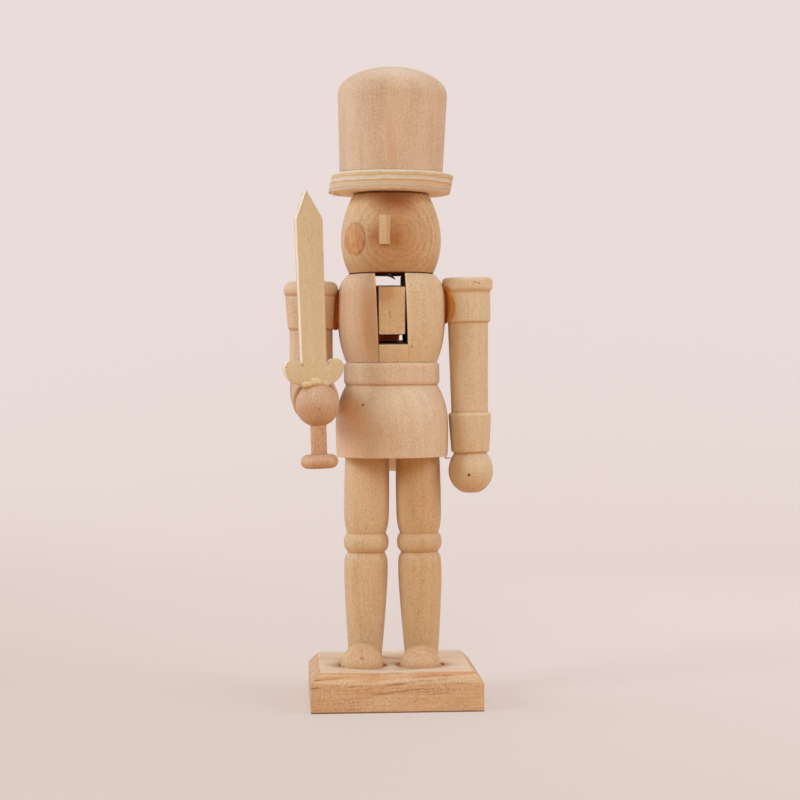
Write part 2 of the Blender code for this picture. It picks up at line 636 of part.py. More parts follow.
def sword_outline(tang_half):
    """The sword seen flat, with its guard's foot at height 0: one side, then the other mirrored."""
    lobe_centre = (GUARD_WIDTH / 2 - GUARD_LOBE_RADIUS, GUARD_LOBE_HEIGHT)
    lobe = arc(lobe_centre, GUARD_LOBE_RADIUS, GUARD_LOBE_START, GUARD_LOBE_END, 2 * CURVE_STEPS)
    shoulder = GUARD_NOTCH_HEIGHT + BLADE_LENGTH - BLADE_POINT
    side = [(tang_half, -TANG_LENGTH), (tang_half, 0), (GUARD_FOOT_WIDTH / 2, 0), *lobe]
    side += [(BLADE_ROOT_WIDTH / 2, GUARD_NOTCH_HEIGHT), (BLADE_SHOULDER_WIDTH / 2, shoulder)]
    mirrored = [(-across, along) for across, along in reversed(side)]
    return [*side, (0, shoulder + BLADE_POINT), *mirrored]


def make_sword(forearm, hand):
    """The blade on top of the hand with its tang in the drilled hole, and the peg in it from below."""
    lean = Matrix.Rotation(-SWORD_LEAN, 3, "Y") @ Matrix.Rotation(SWORD_TURN, 3, "Z")
    bore_radius = PEG_RADIUS + DOWEL_FIT
    reach = 2 * RIGHT_HAND_RADIUS
    bore = rod_mesh("sword_bore", bore_radius, 2 * reach, SMALL_STEPS)
    cut(forearm, place(add_cutter("sword_bore", bore), hand, lean))
    seat = RIGHT_HAND_RADIUS - SWORD_SEAT
    half_guard = GUARD_WIDTH / 2
    trim(forearm, "sword_seat", (-half_guard, -half_guard, seat), (half_guard, half_guard, reach), lean, hand)

    tang_half = math.sqrt((bore_radius - DOWEL_FIT) ** 2 - (BLADE_THICKNESS / 2) ** 2) - SWORD_OFFSET
    blade = plate_mesh("sword_blade", sword_outline(tang_half), BLADE_THICKNESS)
    upright = lean @ Matrix.Rotation(90 * DEGREE, 3, "X")
    guard_foot = hand + lean @ Vector((-SWORD_OFFSET, 0, seat + GLUE_GAP))
    place(add_piece("sword_blade", blade, "sword_plywood"), guard_foot, upright)

    stem_top = seat - TANG_LENGTH
    head_top = stem_top - PEG_STEM_LENGTH
    head_low = head_top - PEG_HEAD_HEIGHT
    rim = PEG_HEAD_HEIGHT / 2
    knob = arc((PEG_HEAD_RADIUS - rim, head_low + rim), rim, 90, -90, KNOB_STEPS)
    profile = [(PEG_RADIUS, stem_top), (PEG_RADIUS, head_top), *knob]
    place(turned("sword_peg", profile, SMALL_STEPS, "peg_wood"), hand, lean)


def finish_pieces():
    """Applies the modifiers, then shades each piece smooth up to its sharp edges."""
    graph = bpy.context.evaluated_depsgraph_get()
    pieces = [thing for thing in PARTS.objects if thing.type == "MESH"]
    shaped = [bpy.data.meshes.new_from_object(piece.evaluated_get(graph)) for piece in pieces]
    for piece, mesh in zip(pieces, shaped):
        piece.modifiers.clear()
        piece.data = mesh
        mesh.shade_smooth()
        mesh.set_sharp_from_angle(angle=SHARP_ANGLE)


def main():
    """Builds the figure from the plinth up."""
    base = make_base()
    lower_body = make_lower_body()
    for side, word in ((-1, "right"), (1, "left")):
        make_foot(side, word + "_foot", base)
        make_leg(side, word + "_leg", base, lower_body)
    right_half = make_chest_half(-1, "right", lower_body)
    left_half = make_chest_half(1, "left", lower_body)
    make_filler()
    head = make_head()
    for side, word, half in ((-1, "right", right_half), (1, "left", left_half)):
        dowel_joint(word + "_neck_dowel", (side * CHEST_DOWEL_SPREAD, 0, NECK), UP, (half, head))
    make_hat(head)
    make_pivot((right_half, left_half, make_jaw_lever()))
    make_left_arm(left_half)
    forearm, hand = make_right_arm(right_half)
    make_sword(forearm, hand)
    finish_pieces()


main()
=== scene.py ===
# %% [markdown]
# A bare wooden nutcracker, dressed for its picture.
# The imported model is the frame: it says where each piece of wood is and what moves. The solids there
# are coarse, so each visible piece is worked out again here as a fine surface, at the same size and
# place, and gets a wood of its own.

import json
import math

import bpy
import numpy as np
from mathutils import Matrix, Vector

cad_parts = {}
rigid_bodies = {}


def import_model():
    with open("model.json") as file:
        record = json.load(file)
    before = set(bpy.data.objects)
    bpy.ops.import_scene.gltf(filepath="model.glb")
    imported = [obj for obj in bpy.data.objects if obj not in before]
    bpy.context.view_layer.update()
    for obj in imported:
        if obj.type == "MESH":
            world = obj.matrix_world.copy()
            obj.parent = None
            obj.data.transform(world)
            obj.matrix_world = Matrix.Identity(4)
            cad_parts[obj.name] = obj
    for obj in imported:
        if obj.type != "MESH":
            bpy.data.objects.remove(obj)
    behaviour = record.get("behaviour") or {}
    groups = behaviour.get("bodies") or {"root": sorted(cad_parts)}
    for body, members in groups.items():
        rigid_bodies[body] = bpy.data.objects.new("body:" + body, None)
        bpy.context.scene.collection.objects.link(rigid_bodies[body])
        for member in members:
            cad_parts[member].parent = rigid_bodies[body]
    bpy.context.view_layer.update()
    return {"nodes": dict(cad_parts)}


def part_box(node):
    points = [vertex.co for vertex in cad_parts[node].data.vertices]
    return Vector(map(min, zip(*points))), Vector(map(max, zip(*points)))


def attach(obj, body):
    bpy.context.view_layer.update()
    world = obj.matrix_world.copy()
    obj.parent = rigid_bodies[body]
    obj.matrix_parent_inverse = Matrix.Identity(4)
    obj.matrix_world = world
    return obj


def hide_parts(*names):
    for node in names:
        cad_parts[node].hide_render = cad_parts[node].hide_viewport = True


for leftover in list(bpy.data.objects):
    bpy.data.objects.remove(leftover, do_unlink=True)
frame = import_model()

# %% [markdown]
# Every shape below is a set of rings: an array of points [row, column, xyz]. A lathe leaves such
# rings by itself, and a sawn block can be sliced into them too. One function turns rings into a
# closed mesh, so that seams and ends are always shut and faces always point outwards.

# %% From rings to a closed mesh
MM = 0.001
FIGURE = "figure"
LEVER = "lever"


def span(node):
    """The lowest and highest corner of a solid, as two arrays."""
    low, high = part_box(node)
    return np.array(low), np.array(high)


def heights(node):
    """The z of a solid's lowest and highest corner."""
    low, high = span(node)
    return low[2], high[2]


def enclosed(points, quads):
    """Six times the volume between the quads and the origin, which is below zero if they face inwards."""
    a, b, c, d = (points[quads[:, corner]] for corner in range(4))
    return np.einsum("ij,ij->", a, np.cross(b, c)) + np.einsum("ij,ij->", a, np.cross(c, d))


def skin(name, rings, marks=None, flat_ends=False, sharp=None):
    """A closed mesh over rings[row, column, xyz].

    Each quad joins two neighbours in a row to the same two in the next row, and the last column joins
    the first. An end is a fan about the ring's middle, or one flat face. marks are values per point.
    """
    rows, columns, _ = rings.shape
    points = rings.reshape(-1, 3)
    index = np.arange(rows * columns).reshape(rows, columns)
    beside = np.roll(index, -1, axis=1)
    quads = np.stack([index[:-1], beside[:-1], beside[1:], index[1:]], axis=-1).reshape(-1, 4)
    if flat_ends:
        ends = [index[0][::-1].tolist(), index[-1].tolist()]
    else:
        poles = len(points) + np.arange(2)
        points = np.concatenate([points, rings[[0, -1]].mean(axis=1)])
        first = np.stack([beside[0], index[0], np.full(columns, poles[0])], axis=-1)
        last = np.stack([index[-1], beside[-1], np.full(columns, poles[1])], axis=-1)
        ends = first.tolist() + last.tolist()
    faces = quads.tolist() + ends
    if enclosed(points, quads) < 0:
        faces = [face[::-1] for face in faces]
    mesh = bpy.data.meshes.new(name)
    mesh.from_pydata(points.tolist(), [], faces)
    mesh.shade_smooth()
    if sharp is not None:
        mesh.set_sharp_from_angle(angle=math.radians(sharp))
    for label, values in (marks or {}).items():
        padded = np.zeros(len(points), np.float32)
        padded[: values.size] = values.ravel()
        mesh.attributes.new(label, "FLOAT", "POINT").data.foreach_set("value", padded)
    piece = bpy.data.objects.new(name, mesh)
    bpy.context.scene.collection.objects.link(piece)
    print(f"{name}: {len(points)} points, {len(faces)} faces")
    return piece


def settle(piece, wood, nodes=(), body=FIGURE):
    """Gives a piece its wood, and lets it ride on a body in place of the solids that it stands for."""
    piece.data.materials.append(wood)
    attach(piece, body)
    if nodes:
        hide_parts(*nodes)


def dress(node, rings, wood, marks=None, slot="turned_wood", also=(), **ends):
    """Makes the piece that is shown in place of a node's solid, and of others that it also stands for."""
    settle(skin(node + "_wood", rings, marks, **ends), wood, [node, *also])


# %% [markdown]
# A turned piece is a profile: radius against height, from one end of the axis to the other. The
# profile is written with hard corners, then sanded: it is divided evenly and each point is averaged
# with its neighbours, which rounds corners the way sandpaper on a lathe does.

# %% Profiles
TURN = 2 * math.pi


def swell(low, peak, high, powers, steps=40):
    """(radius, height) points from low over peak to high.

    Away from the peak the radius falls by the whole drop times (distance / whole distance) ** power.
    """
    share = np.linspace(0, 1, steps + 1)
    halves = []
    for tip, power in zip((low, high), powers):
        radius = peak[0] - (peak[0] - tip[0]) * share**power
        halves.append(np.stack([radius, peak[1] + (tip[1] - peak[1]) * share], axis=-1))
    return np.concatenate([halves[0][::-1], halves[1][1:]])


def arc(centre, radius, start, end, steps=24):
    """Points on a circle between two angles in degrees."""
    angle = np.radians(np.linspace(start, end, steps + 1))
    return np.stack([centre[0] + radius * np.cos(angle), centre[1] + radius * np.sin(angle)], axis=-1)


def path(*stretches):
    """Joins points and curves into one line of points."""
    return np.concatenate([np.atleast_2d(np.asarray(stretch, float)) for stretch in stretches])


def divided(line, step):
    """The same line with its points evenly spaced, about one step apart."""
    length = np.concatenate([[0], np.cumsum(np.linalg.norm(np.diff(line, axis=0), axis=1))])
    keep = np.concatenate([[True], np.diff(length) > 1e-9])
    line, length = line[keep], length[keep]
    even = np.linspace(0, length[-1], max(3, int(round(length[-1] / step)) + 1))
    return np.stack([np.interp(even, length, column) for column in line.T], axis=-1)


def bell(reach, width):
    """Weights of a bell curve at whole steps up to reach on both sides, which add up to one."""
    weights = np.exp(-0.5 * (np.arange(-reach, reach + 1) / width) ** 2)
    return weights / weights.sum()


def sanded(line, soft, step=0.4 * MM, closed=False):
    """Divides a line and averages each point with its neighbours, weighted by a bell curve of width soft."""
    if closed:
        line = np.concatenate([line, line[:1]])
    fine = divided(line, min(step, soft))
    if closed:
        fine = fine[:-1]
    spacing = np.linalg.norm(fine[1] - fine[0])
    reach = int(np.ceil(3 * soft / spacing))
    weights = bell(reach, soft / spacing)
    if closed:
        padded = np.concatenate([fine[-reach:], fine, fine[:reach]])
    else:
        before = 2 * fine[0] - fine[reach:0:-1]
        after = 2 * fine[-1] - fine[-2 : -reach - 2 : -1]
        padded = np.concatenate([before, fine, after])
    return np.stack([np.convolve(column, weights, mode="valid") for column in padded.T], axis=-1)


# %% [markdown]
# Nothing turned by hand is perfectly round. A sum of a few sine waves, each with a whole number of
# turns about the axis so that it meets itself, moves the surface in and out by some hundredths of a
# millimetre. It is seeded, so each piece comes out the same every time.

# %% Spinning a profile
FADE_R, CUT_SHOWS, EDGE_ON = 2 * MM, 0.05 * MM, 0.05
WAVER_FALL, WAVER_SUM = 0.7, 2.5


def waver(angle, height, seed, count=5, tallest=0.06):
    """A sum of sines in angle and height, scaled to swing between about -1 and 1."""
    draw = np.random.default_rng(seed)
    total = np.zeros(np.broadcast(angle, height).shape)
    for turns in range(1, count + 1):
        pace = draw.uniform(-tallest, tallest) / MM
        total += np.sin(turns * angle + pace * height + draw.uniform(0, TURN)) / turns**WAVER_FALL
    return total / WAVER_SUM


def spin(profile, columns=160, flats=(), uneven=0.015 * MM, seed=1):
    """Rings of a profile turned about Z, then flattened.

    The radius is the profile's, moved by the waver. A flat is (direction in degrees, distance of its
    plane from the axis at each height): it limits the radius to distance / cos(angle from direction).
    Returns the rings and a mask of what the flats cut.
    """
    angle = np.linspace(0, TURN, columns, endpoint=False)[None, :]
    radius = profile[:, :1]
    height = profile[:, 1:]
    fade = np.clip(radius / FADE_R, 0, 1)
    surface = radius + uneven * fade * waver(angle, height, seed)
    whole = surface.copy()
    for direction, distance in flats:
        facing = np.cos(angle - math.radians(direction))
        plane = distance(height) if callable(distance) else np.full_like(height, distance)
        limit = np.where(facing > EDGE_ON, plane / np.maximum(facing, EDGE_ON), np.inf)
        surface = np.minimum(surface, limit)
    rings = np.stack(
        [surface * np.cos(angle), surface * np.sin(angle), np.broadcast_to(height, surface.shape)], axis=-1
    )
    return rings, np.clip((whole - surface) / CUT_SHOWS, 0, 1)


def turn_about(axis, degrees):
    """A rotation matrix about X, Y or Z."""
    c, s = math.cos(math.radians(degrees)), math.sin(math.radians(degrees))
    turns = {
        "X": [[1, 0, 0], [0, c, -s], [0, s, c]],
        "Y": [[c, 0, s], [0, 1, 0], [-s, 0, c]],
        "Z": [[c, -s, 0], [s, c, 0], [0, 0, 1]],
    }
    return np.array(turns[axis])


def carried(rings, place, turn=None):
    """Rings turned by a matrix and moved to a place."""
    moved = rings if turn is None else rings @ turn.T
    return moved + np.asarray(place, float)


print("helpers are ready")

# %% [markdown]
# The camera stands a little above the figure's middle and three degrees to its right, as far away as
# the picture's perspective says, and it is held a fraction of a degree off level. Its numbers were
# found by laying the solids over the photograph.
# The same numbers turn a place in the picture into a line of sight, so that a pinhole or a knot can
# be put on the wood where it is seen.

# %% Camera
IMAGE = 800
FOCAL_PIXELS = 1975
HORIZON_ROW = 365
AXIS_COLUMN = 391.6
PIXEL_AT_AXIS = 0.3165 * MM
CAMERA_YAW = -3.0
CAMERA_ROLL = 0.3
CAMERA_HEIGHT = 105.7 * MM
SENSOR = 36.0

camera_yaw = turn_about("Z", CAMERA_YAW)
camera_turn = camera_yaw @ turn_about("Y", CAMERA_ROLL)
stand_off = FOCAL_PIXELS * PIXEL_AT_AXIS
eye = camera_yaw @ np.array([(IMAGE / 2 - AXIS_COLUMN) * PIXEL_AT_AXIS, -stand_off, CAMERA_HEIGHT])
lens = bpy.data.cameras.new("photo_camera")
lens.sensor_width = SENSOR
lens.lens = SENSOR * FOCAL_PIXELS / IMAGE
lens.shift_y = (HORIZON_ROW - IMAGE / 2) / IMAGE
lens.clip_start = 10 * MM
lens.clip_end = 50
camera = bpy.data.objects.new("photo_camera", lens)
camera.location = eye
camera.rotation_euler = Matrix((camera_turn @ turn_about("X", 90)).tolist()).to_euler()
bpy.context.scene.collection.objects.link(camera)
bpy.context.scene.camera = camera
bpy.context.scene.view_settings.view_transform = "Standard"


def sight(column, row):
    """The direction from the eye through a place in the picture."""
    flat = np.array([column - IMAGE / 2, FOCAL_PIXELS, HORIZON_ROW - row])
    return camera_turn @ flat / np.linalg.norm(flat)


def seen_on(column, row, radius, axis=(0, 0)):
    """Where a line of sight first meets an upright cylinder about an axis: the nearer root of a quadratic."""
    ray = sight(column, row)
    start = eye[:2] - np.asarray(axis)
    a = ray[:2] @ ray[:2]
    b = start @ ray[:2]
    c = start @ start - radius**2
    return eye + ray * (-b - math.sqrt(b * b - a * c)) / a


def seen_at(column, row, depth):
    """Where a line of sight reaches a plane across the picture, given by its y."""
    ray = sight(column, row)
    return eye + ray * (depth - eye[1]) / ray[1]


print("camera:", np.round(eye / MM, 1), "mm, lens", round(lens.lens, 2))

# %% [markdown]
# Shader maths reads best as sums. The class below wraps one socket of a node tree: adding or
# multiplying two of them, or one and a number on either side, puts a Math node in the tree. Any
# other node comes from its node method, which sets the node up first and then fills its sockets
# with numbers or links.

# %% Sockets as Python values
def both_ways(operation):
    """An operator that adds a Math node of one kind, and its reflected form, for a number on the left."""

    def plain(wire, other):
        return wire.math(operation, other)

    def reflected(wire, other):
        return wire.node("ShaderNodeMath", {"operation": operation}, {0: other, 1: wire})

    return plain, reflected


class Wire:
    """One socket of a node tree, for use in Python expressions."""

    __add__, __radd__ = both_ways("ADD")
    __sub__, __rsub__ = both_ways("SUBTRACT")
    __mul__, __rmul__ = both_ways("MULTIPLY")
    __truediv__, __rtruediv__ = both_ways("DIVIDE")
    __pow__, __rpow__ = both_ways("POWER")

    def __init__(self, tree, socket):
        self.tree = tree
        self.socket = socket

    def node(self, kind, settings, inputs, output=0):
        """Adds a node of a kind, with its settings, then its sockets, and returns one of its outputs."""
        made = self.tree.nodes.new(kind)
        for name, value in settings.items():
            if name == "stops":
                ramp = made.color_ramp.elements
                while len(ramp) < len(value):
                    ramp.new(0.5)
                for stop, (place, colour) in zip(ramp, value):
                    stop.position = place
                    stop.color = colour
            else:
                setattr(made, name, value)
        for key, value in inputs.items():
            if isinstance(value, Wire):
                self.tree.links.new(value.socket, made.inputs[key])
            else:
                made.inputs[key].default_value = value
        return Wire(self.tree, made.outputs[output])

    def math(self, operation, other=0.0):
        """A Math node on this value and another."""
        return self.node("ShaderNodeMath", {"operation": operation}, {0: self, 1: other})

    def between(self, low, high):
        """0 up to low, 1 from high on, and an S curve from one to the other; low may be the larger."""
        settings = {"interpolation_type": "SMOOTHSTEP"}
        return self.node("ShaderNodeMapRange", settings, {"Value": self, "From Min": low, "From Max": high})

    def mixed(self, under, over):
        """Two colours mixed, with this value as the share of the second."""
        return self.node("ShaderNodeMix", {"data_type": "RGBA"}, {0: self, 6: under, 7: over}, output=2)

    def ramp(self, stops):
        """The colour at this value on a ramp of (value, colour) stops."""
        return self.node("ShaderNodeValToRGB", {"stops": stops}, {0: self})

    def stretched(self, scale):
        """A point with each coordinate times its own scale."""
        return self.node("ShaderNodeVectorMath", {"operation": "MULTIPLY"}, {0: self, 1: scale})

    def noise(self, scale, detail=2.0, rough=0.5):
        """Smooth noise from 0 to 1 of this point, with each coordinate times its own scale."""
        inputs = {"Vector": self.stretched(scale), "Scale": 1.0, "Detail": detail, "Roughness": rough}
        return self.node("ShaderNodeTexNoise", {}, inputs)

    def part(self, axis):
        """One coordinate of a point."""
        return self.node("ShaderNodeSeparateXYZ", {}, {0: self}, output="XYZ".index(axis))

    def away(self, centre, size):
        """Distance from a centre, as a share of a size given for each axis."""
        offset = self.node("ShaderNodeVectorMath", {"operation": "SUBTRACT"}, {0: self, 1: centre})
        scaled = offset.stretched(tuple(1 / length for length in size))
        return scaled.node("ShaderNodeVectorMath", {"operation": "LENGTH"}, {0: scaled}, output="Value")


def tone(red, green, blue):
    """A colour given as screen values up to 255, in the linear values that a shader takes."""
    screen = np.array([red, green, blue]) / 255
    linear = np.where(screen <= 0.04045, screen / 12.92, ((screen + 0.055) / 1.055) ** 2.4)
    return (*linear.tolist(), 1.0)


def start(name):
    """A new material, and the place on the piece in millimetres."""
    material = bpy.data.materials.new(name)
    material.use_nodes = True
    coordinates = material.node_tree.nodes.new("ShaderNodeTexCoord")
    place = Wire(material.node_tree, coordinates.outputs["Object"])
    return material, place.stretched((1000, 1000, 1000))


RELIEF = 0.05 * MM


def finish(material, colour, rough, height, shine=0.5):
    """Sends a colour, a roughness, a relief and a specular level, shine, to the material's shader."""
    shader = material.node_tree.nodes["Principled BSDF"]
    shader.inputs["Specular IOR Level"].default_value = shine
    bump = height.node("ShaderNodeBump", {}, {"Strength": 1.0, "Distance": RELIEF, "Height": height})
    for socket, wire in (("Base Color", colour), ("Roughness", rough), ("Normal", bump)):
        material.node_tree.links.new(wire.socket, shader.inputs[socket])
    return material


def painted(place, label):
    """A value that the piece's own points carry."""
    return place.node("ShaderNodeAttribute", {"attribute_name": label}, {}, output="Fac")


print("shader helpers are ready")

# %% [markdown]
# All of the figure is bare wood, so one recipe serves most pieces. A tree is a stack of cones about
# its pith, and a cut piece shows them as bands: the recipe turns the piece so that its grain runs
# along Z, puts the pith where the board was cut from, and takes the distance from it. Fibres, short
# dark pores and soft clouds are noise stretched along the grain, so end grain turns to dots by itself.

# %% Bare wood
def grain(place, tones, turn=(0, 0, 0), pith=(0, 40), ring=2.8, rings=0.1, fibre=0.4, flecks=0.1,
          mottle=1.2, cloud=0.35, bend=2.0, shift=0.0):
    """The colour and the relief of wood at a place, from three tones: pale, middle and dark.

    A growth ring is the distance from the pith over the ring's width, bent by slow noise. Over its
    fraction the late wood comes up slowly and ends quickly. Each weight says how much one effect darkens.
    """
    turned = tuple(math.radians(angle) for angle in turn)
    centre = (-pith[0], -pith[1], shift)
    along = place.node("ShaderNodeMapping", {}, {"Vector": place, "Rotation": turned, "Location": centre})
    slow = along.noise((0.05, 0.05, 0.012), 2)
    across = along.part("X")
    deep = along.part("Y")
    phase = (across * across + deep * deep) ** 0.5 / ring + slow * bend
    growth = phase.math("FRACT")
    late = growth.between(0.1, 0.85) * growth.between(1.0, 0.85)
    patchy = along.noise((0.08, 0.08, 0.02), 1).between(0.25, 0.7)
    fibres = along.noise((2.2, 2.2, 0.09), 3, 0.6) - 0.5
    pores = along.noise((3.2, 3.2, 0.6), 1).between(0.6, 0.74)
    grainy = along.noise((2.0, 2.0, 1.6), 2, 0.75) - 0.5
    cloudy = along.noise((0.11, 0.11, 0.05), 2) - 0.5
    dark = 0.33 + late * (patchy * 0.7 + 0.3) * rings + fibres * fibre + pores * flecks
    dark = dark + grainy * mottle + cloudy * cloud
    pale, middle, deepest = tones
    stops = [(0.0, pale), (0.4, middle), (1.0, deepest)]
    return dark.ramp(stops), fibres * 0.5 + grainy * 0.8 - pores * 0.6


BEECH = (tone(230, 207, 176), tone(217, 190, 157), tone(180, 134, 90))
HONEY = (tone(226, 198, 163), tone(212, 179, 142), tone(172, 120, 74))
DUSKY = (tone(223, 197, 172), tone(210, 178, 151), tone(173, 124, 88))
BLUSH = (tone(228, 199, 173), tone(215, 181, 152), tone(178, 126, 88))
CREAM = (tone(231, 207, 181), tone(218, 190, 162), tone(182, 135, 95))
AMBER = (tone(223, 191, 153), tone(210, 174, 134), tone(166, 112, 68))
TAWNY = (tone(214, 178, 149), tone(199, 157, 125), tone(158, 108, 74))
RUDDY = (tone(218, 177, 145), tone(204, 158, 124), tone(150, 96, 62))
PINE = (tone(230, 199, 166), tone(215, 177, 140), tone(168, 104, 60))
PALE_EDGE = tone(236, 211, 184)
SAWN = tone(170, 106, 56)
PIT = tone(70, 40, 22)


def spotted(colour, place, spots):
    """Lays spots on a colour.

    A spot is a centre on the piece, a size per axis in millimetres, a tone and a weight.
    """
    # Some spots are painted light and shade.
    for centre, size, patch, weight in spots:
        where = tuple(np.asarray(centre) / MM)
        colour = (place.away(where, size).between(1.0, 0.3) * weight).mixed(colour, patch)
    return colour


def bare_wood(name, tones=BEECH, spots=(), rough=0.48, sawn=SAWN, depth=0.75, shine=0.5, **settings):
    """A wood with spots, pale edges and a sawn tone on its cuts, whose weight is depth; some spots, edges and
    cuts carry painted light and shade.
    """
    material, place = start(name)
    colour, height = grain(place, tones, **settings)
    cut = painted(place, "cut") * depth
    colour = (painted(place, "edge") * 0.7).mixed(colour, PALE_EDGE)
    colour = cut.mixed(colour, sawn)
    colour = spotted(colour, place, spots)
    return finish(material, colour, height * 0.2 + rough + cut * 0.5, height, shine=shine)


print("bare wood has", len(BEECH), "tones")

# %% [markdown]
# The legs are two equal turnings with a bead at the knee. A lathe cuts them from one square stick
# each; here the profile is three swells joined at two grooves, lightly sanded, spun and set on the
# plinth with a slight splay. A turned end stops a hair short of its neighbour, where the glue is.

# %% Legs
HAIR, HEM_LIFT = 0.05 * MM, 0.3 * MM
LEG_FOOT = heights("base_plinth")[1] + HAIR
HEM = heights("lower_body")[0] + HEM_LIFT
LEG_LENGTH = HEM - HAIR - LEG_FOOT
ANKLE_X, HIP_X, LEG_Y = 9.0 * MM, 8.05 * MM, 3.5 * MM
LEG_SIDE = 0.25 * MM
HIP_R, THIGH_R, KNEE_R = 6.95 * MM, 7.15 * MM, 7.1 * MM
CALF_R, ANKLE_R, LOW_GROOVE_R, HIGH_GROOVE_R = 6.9 * MM, 5.15 * MM, 5.75 * MM, 6.1 * MM
KNEE_Z, KNEE_BEAD, CALF_DROP = 37.3 * MM, 6.1 * MM, 7.0 * MM
CALF_POWERS, KNEE_POWERS, THIGH_POWERS = (1.3, 5), (2.6, 2.6), (5, 2)
GROOVE_DEPTH, GROOVE_ROWS, RIDGE_WEAR = 0.14 * MM, 5, 0.5
ON_AXIS = 0.05 * MM


def lathe(line, soft=0.15 * MM, step=0.3 * MM, **settings):
    """Rings of a sanded profile; its points on the axis are left out, since the ends close by themselves."""
    profile = sanded(line, soft, step)
    return spin(profile[profile[:, 0] > ON_AXIS], **settings)


def grooves_and_ridges(rings, cut=0.0):
    """Marks for dust and painted shade in grooves, what was cut, and wear on ridges.

    A row's depth is its neighbours' bell-weighted mean radius less its own: above zero in a groove, below
    on a ridge. At GROOVE_DEPTH the mark is full.
    """
    radius = np.hypot(rings[..., 0], rings[..., 1]).mean(axis=1)
    padded = np.pad(radius, GROOVE_ROWS, mode="edge")
    around = np.convolve(padded, bell(GROOVE_ROWS, GROOVE_ROWS / 2), mode="valid")
    # Grooves are darkened: dust and painted shade.
    depth = ((around - radius) / GROOVE_DEPTH)[:, None] * np.ones(rings.shape[1])
    return {"cut": np.maximum(np.clip(depth, 0, 1), cut), "edge": np.clip(-depth, 0, 1) * RIDGE_WEAR}


def leg_line():
    """The leg's profile from the ankle up: calf, knee bead and thigh, which meet in two grooves."""
    low = (LOW_GROOVE_R, KNEE_Z - KNEE_BEAD / 2)
    high = (HIGH_GROOVE_R, KNEE_Z + KNEE_BEAD / 2)
    calf = swell((ANKLE_R, 0), (CALF_R, low[1] - CALF_DROP), low, CALF_POWERS)
    knee = swell(low, (KNEE_R, KNEE_Z), high, KNEE_POWERS)
    thigh = swell(high, (THIGH_R, (LEG_LENGTH + high[1]) / 2), (HIP_R, LEG_LENGTH), THIGH_POWERS)
    return path((0, 0), calf, knee, thigh, (0, LEG_LENGTH))


splay = math.degrees(math.atan2(ANKLE_X - HIP_X, LEG_LENGTH))
for side, node, seed, pith, tones in (
    (-1, "right_leg", 11, (-14, 30), HONEY), (1, "left_leg", 12, (30, 26), AMBER),
):
    rings, _ = lathe(leg_line(), soft=0.12 * MM, seed=seed, columns=112)
    marks = grooves_and_ridges(rings)
    rings = carried(rings, (side * ANKLE_X + LEG_SIDE, LEG_Y, LEG_FOOT), turn_about("Y", -side * splay))
    leg_wood = bare_wood(node + "_finish", tones, pith=pith, shift=31.0 * seed)
    dress(node, rings, leg_wood, marks)

# %% [markdown]
# Coat skirt and belt are one turning. The belt is nearly a straight band, which a swell with a high
# power gives, and the skirt is widest a little above its hem.

# %% Lower body
HEM_R, SKIRT_R, SKIRT_PEAK = 17.5 * MM, 17.8 * MM, 8.6 * MM
WAIST_R, BELT_H, BELT_R = 14.4 * MM, 7.0 * MM, 15.1 * MM
SKIRT_POWERS, BELT_POWERS = (2, 2.4), (8, 8)
SKIRT_PINHOLE, PINHOLE_R = (363, 405), 16.9 * MM
HAND_SHADOW, HAND_SHADOW_R = (351, 426), 17.0 * MM

belt_top = heights("lower_body")[1] - HEM
skirt = swell((HEM_R, 0), (SKIRT_R, SKIRT_PEAK), (WAIST_R, belt_top - BELT_H), SKIRT_POWERS)
belt_middle = (BELT_R, belt_top - BELT_H / 2)
belt = swell((WAIST_R, belt_top - BELT_H), belt_middle, (WAIST_R, belt_top), BELT_POWERS)
rings, _ = lathe(path((0, 0), skirt, belt, (0, belt_top)), seed=21)
pinhole = (seen_on(*SKIRT_PINHOLE, PINHOLE_R), (0.5, 1.0, 0.5), PIT, 1)
# The orange-brown patch on the skirt's left, below the hand, is painted shadow of the hand and forearm.
hand_shadow = (seen_on(*HAND_SHADOW, HAND_SHADOW_R), (9, 9, 15), tone(208, 154, 106), 0.45)
coat_wood = bare_wood("lower_body_finish", CREAM, spots=[hand_shadow, pinhole], pith=(20, 46), shift=90)
dress("lower_body", carried(rings, (0, 0, HEM)), coat_wood, grooves_and_ridges(rings))

# %% [markdown]
# The chest was turned whole, then sawn apart for the jaw's slot. A half is sliced level by level:
# each slice is the arc of the turning, cut straight along the slot's wall and flat at the shoulder.
# The slot leans a little, so each wall's place changes with height.

# %% Chest halves and the block below the jaw
CHEST_FOOT, NECK = heights("chest_left_half")
CHEST_H = NECK - CHEST_FOOT
CHEST_R, CHEST_PEAK, NECK_R = 17.0 * MM, 15.2 * MM, 13.6 * MM
CHEST_POWERS = (2.4, 4.4)
SHOULDER_X = 16.95 * MM
CUT_EDGE = 0.3 * MM
WALL_LOW_Z, WALL_HIGH_Z = 112.0 * MM, NECK
FILLER_H, FILLER_RISE = 5.2 * MM, 1.8 * MM
RIGHT_WALL = (-4.77 * MM, -5.6 * MM)
LEFT_WALL = (4.35 * MM, 3.6 * MM)
CHEST_SEAT = HEM + belt_top + HAIR
ARC_COLUMNS, WALL_COLUMNS, SLICE = 130, 96, 0.4 * MM
CORNER_WIDTH, CORNER_SOFT, FLAT_NEAR, FLAT_WEAR = 1.2, 0.6, 0.01 * MM, 0.6

chest_line = sanded(swell((WAIST_R, 0), (CHEST_R, CHEST_PEAK), (NECK_R, CHEST_H), CHEST_POWERS), 0.2 * MM)


def chest_radius(z):
    """The turned chest's radius at a height."""
    return np.interp(z - CHEST_FOOT, chest_line[:, 1], chest_line[:, 0])


def wall_at(wall, z):
    """A slot wall's x at a height, on a straight line through its low and its high end."""
    share = (z - WALL_LOW_Z) / (WALL_HIGH_Z - WALL_LOW_Z)
    return wall[0] + (wall[1] - wall[0]) * share


